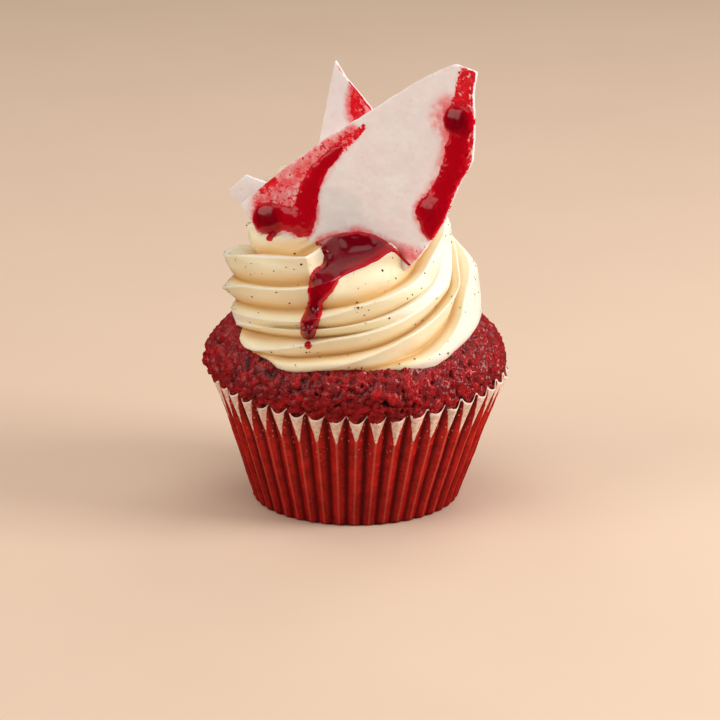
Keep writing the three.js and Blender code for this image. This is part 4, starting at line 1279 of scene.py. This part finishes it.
def sugar_glass():
    """Cloudy white sugar glass with soft pink mottling. Syrup soaks it where noise is under the syrup mark,
    so full marks are solid, weak ones break into speckles, and a pink blush lies round them."""
    finish = Finish("cloudy_sugar", Subsurface_Weight=0.4, Subsurface_Radius=(1.0, 0.7, 0.6),
                    Subsurface_Scale=0.0025, Coat_Weight=0.4, Coat_Roughness=0.12)
    syrup, blush = finish.mark("syrup"), finish.mark("blush")
    cloud = finish.noise(5, 4, 0.6)
    dapple = finish.noise(1.5, 5, 0.7, finish.stretched(1, 1, 1, 0.03))
    halo = finish.math("MULTIPLY", blush, finish.spread(finish.noise(2.2, 5, 0.7), 0.36, 0.64, 0.45, 1.1))
    grain = finish.noise(1.25, 5, 0.78, finish.stretched(1, 1, 1, 0.07))
    holding = finish.spread(grain, 0.3, 0.7, 0.15, 1.0, True)
    soaked = finish.spread(finish.math("SUBTRACT", syrup, holding), -0.03, 0.09)
    deep = finish.mix(finish.spread(finish.noise(1.3, 3), 0.35, 0.65), paint(238, 30, 48), paint(216, 8, 34))
    finish.colour(
        paint(248, 236, 240),
        (finish.spread(cloud, 0.35, 0.7), paint(252, 245, 248)),
        (finish.spread(dapple, 0.56, 0.76, 0.0, 0.45), paint(238, 202, 196)),
        (finish.spread(halo, 0.0, 0.55), paint(246, 142, 148)),
        (finish.spread(halo, 0.45, 1.1), paint(240, 56, 68)),
        (soaked, deep),
    )
    finish.roughness(finish.spread(soaked, 0.0, 1.0, 0.36, 0.18, True))
    finish.bumps((cloud, 0.12), (finish.noise(0.6, 3), 0.04))
    return finish.material


def red_syrup():
    """Thick red syrup: bright red where it thins out at its edge, dark red where it is deep."""
    finish = Finish("red_syrup", Roughness=0.14, Coat_Weight=0.2, Coat_Roughness=0.03, IOR=1.40,
                    Specular_IOR_Level=0.35)
    thick = finish.mark("thick")
    uneven = finish.math("ADD", thick, finish.spread(finish.noise(1.3, 4, 0.65), 0.3, 0.7, -0.2, 0.3, True))
    finish.colour(
        paint(222, 8, 34),
        (finish.spread(uneven, 0.05, 0.30), paint(186, 0, 24)),
        (finish.spread(uneven, 0.4, 1.8), paint(112, 0, 18)),
    )
    finish.bumps((finish.noise(3.5, 2, 0.4), 0.06))
    return finish.material


def vanilla():
    """Dark brown vanilla seed, some lighter than others."""
    finish = Finish("vanilla_seed", Roughness=0.55)
    lighter = finish.spread(finish.noise(2.5, 1), 0.4, 0.6)
    finish.colour(paint(52, 26, 15), (lighter, paint(112, 64, 36)))
    finish.bumps((finish.noise(0.15, 2), 0.03))
    return finish.material


# ---- The cupcake ----

sugar, syrup = sugar_glass(), red_syrup()
finish_piece(paper_case(), soaked_paper(), "paper", "paper_case")
finish_piece(sponge(), red_crumb(), "red_sponge", "sponge")
finish_piece(frosting(), cream_cheese(), "cream_cheese_frosting", "frosting")
finish_piece(vanilla_specks(), vanilla(), "cream_cheese_frosting")
finish_piece(shard("shard_front", front_stain, 61), sugar, "sugar_glass", "shard_front")
finish_piece(shard("shard_left", no_stain, 71), sugar, "sugar_glass", "shard_left")
finish_piece(shard("shard_spike", spike_stain, 81), sugar, "sugar_glass", "shard_spike")
finish_piece(syrup_on_shard(), syrup, "sugar_glass")
finish_piece(syrup_film(), syrup, "cream_cheese_frosting")


# ---- Floor, light and camera, in metres ----

LIT_HEIGHT = 0.045  # about half the cupcake's height without its shards


def pale_floor():
    """A flat pale floor: one wide square, which reaches past every view."""
    reach = 5.0
    mesh = bpy.data.meshes.new("floor")
    corners = [(-reach, -reach, 0), (reach, -reach, 0), (reach, reach, 0), (-reach, reach, 0)]
    mesh.from_pydata(corners, [], [(0, 1, 2, 3)])
    floor = bpy.data.objects.new("floor", mesh)
    bpy.context.collection.objects.link(floor)
    finish = Finish("plain_floor", Roughness=0.8)
    finish.colour(paint(222, 196, 174), (finish.noise(60, 2), paint(227, 202, 181)))
    floor.data.materials.append(finish.material)
    floor.visible_glossy = False


def soft_light(name, angle, height, distance, size, power, tint):
    """A square lamp, so many degrees round the cupcake and so many up from the floor, facing its middle."""
    lamp = bpy.data.lights.new(name, "AREA")
    lamp.size, lamp.energy, lamp.color = size, power, tint
    made = bpy.data.objects.new(name, lamp)
    turn, lift = math.radians(angle), math.radians(height)
    aim = Vector((0, 0, LIT_HEIGHT))
    away = Vector((math.sin(turn) * math.cos(lift), -math.cos(turn) * math.cos(lift), math.sin(lift)))
    made.location = aim + away * distance
    made.rotation_euler = away.to_track_quat("Z", "Y").to_euler()
    bpy.context.collection.objects.link(made)


def room_light(tint, strength):
    """Even light from all round."""
    world = bpy.data.worlds.new("room")
    world.use_nodes = True
    background = world.node_tree.nodes["Background"]
    background.inputs["Color"].default_value = tint
    background.inputs["Strength"].default_value = strength
    world.cycles_visibility.glossy = False
    bpy.context.scene.world = world


def camera(lens, lift, distance, aim_x, aim_height):
    """A long lens at the front, looking down by the lift at a point near the cupcake's axis."""
    data = bpy.data.cameras.new("camera")
    data.lens, data.sensor_width = lens, 36
    data.clip_end = 10
    made = bpy.data.objects.new("camera", data)
    tilt = math.radians(lift)
    made.location = (aim_x, -distance * math.cos(tilt), distance * math.sin(tilt) + aim_height)
    made.rotation_euler = (math.pi / 2 - tilt, 0, 0)
    bpy.context.collection.objects.link(made)
    bpy.context.scene.camera = made


pale_floor()
room_light((1.0, 0.88, 0.76, 1.0), 0.27)
# Name, degrees round, degrees up, distance, size, power and tint.
soft_light("window", 76, 26, 0.7, 0.34, 4.0, (1.0, 0.98, 0.95))
soft_light("bounce", -66, 26, 0.9, 0.6, 2.9, (1.0, 0.95, 0.89))
soft_light("ceiling", -10, 76, 1.0, 0.9, 3.6, (1.0, 0.96, 0.90))
soft_light("back_light", 150, 45, 0.8, 0.4, 1.1, (1.0, 0.95, 0.88))
soft_light("edge_light", -140, 46, 0.8, 0.4, 0.6, (1.0, 0.97, 0.93))
camera(lens=225, lift=SLANT_DEGREES, distance=1.1334, aim_x=0.00014, aim_height=0.03531)
bpy.context.scene.view_settings.view_transform = "Standard"
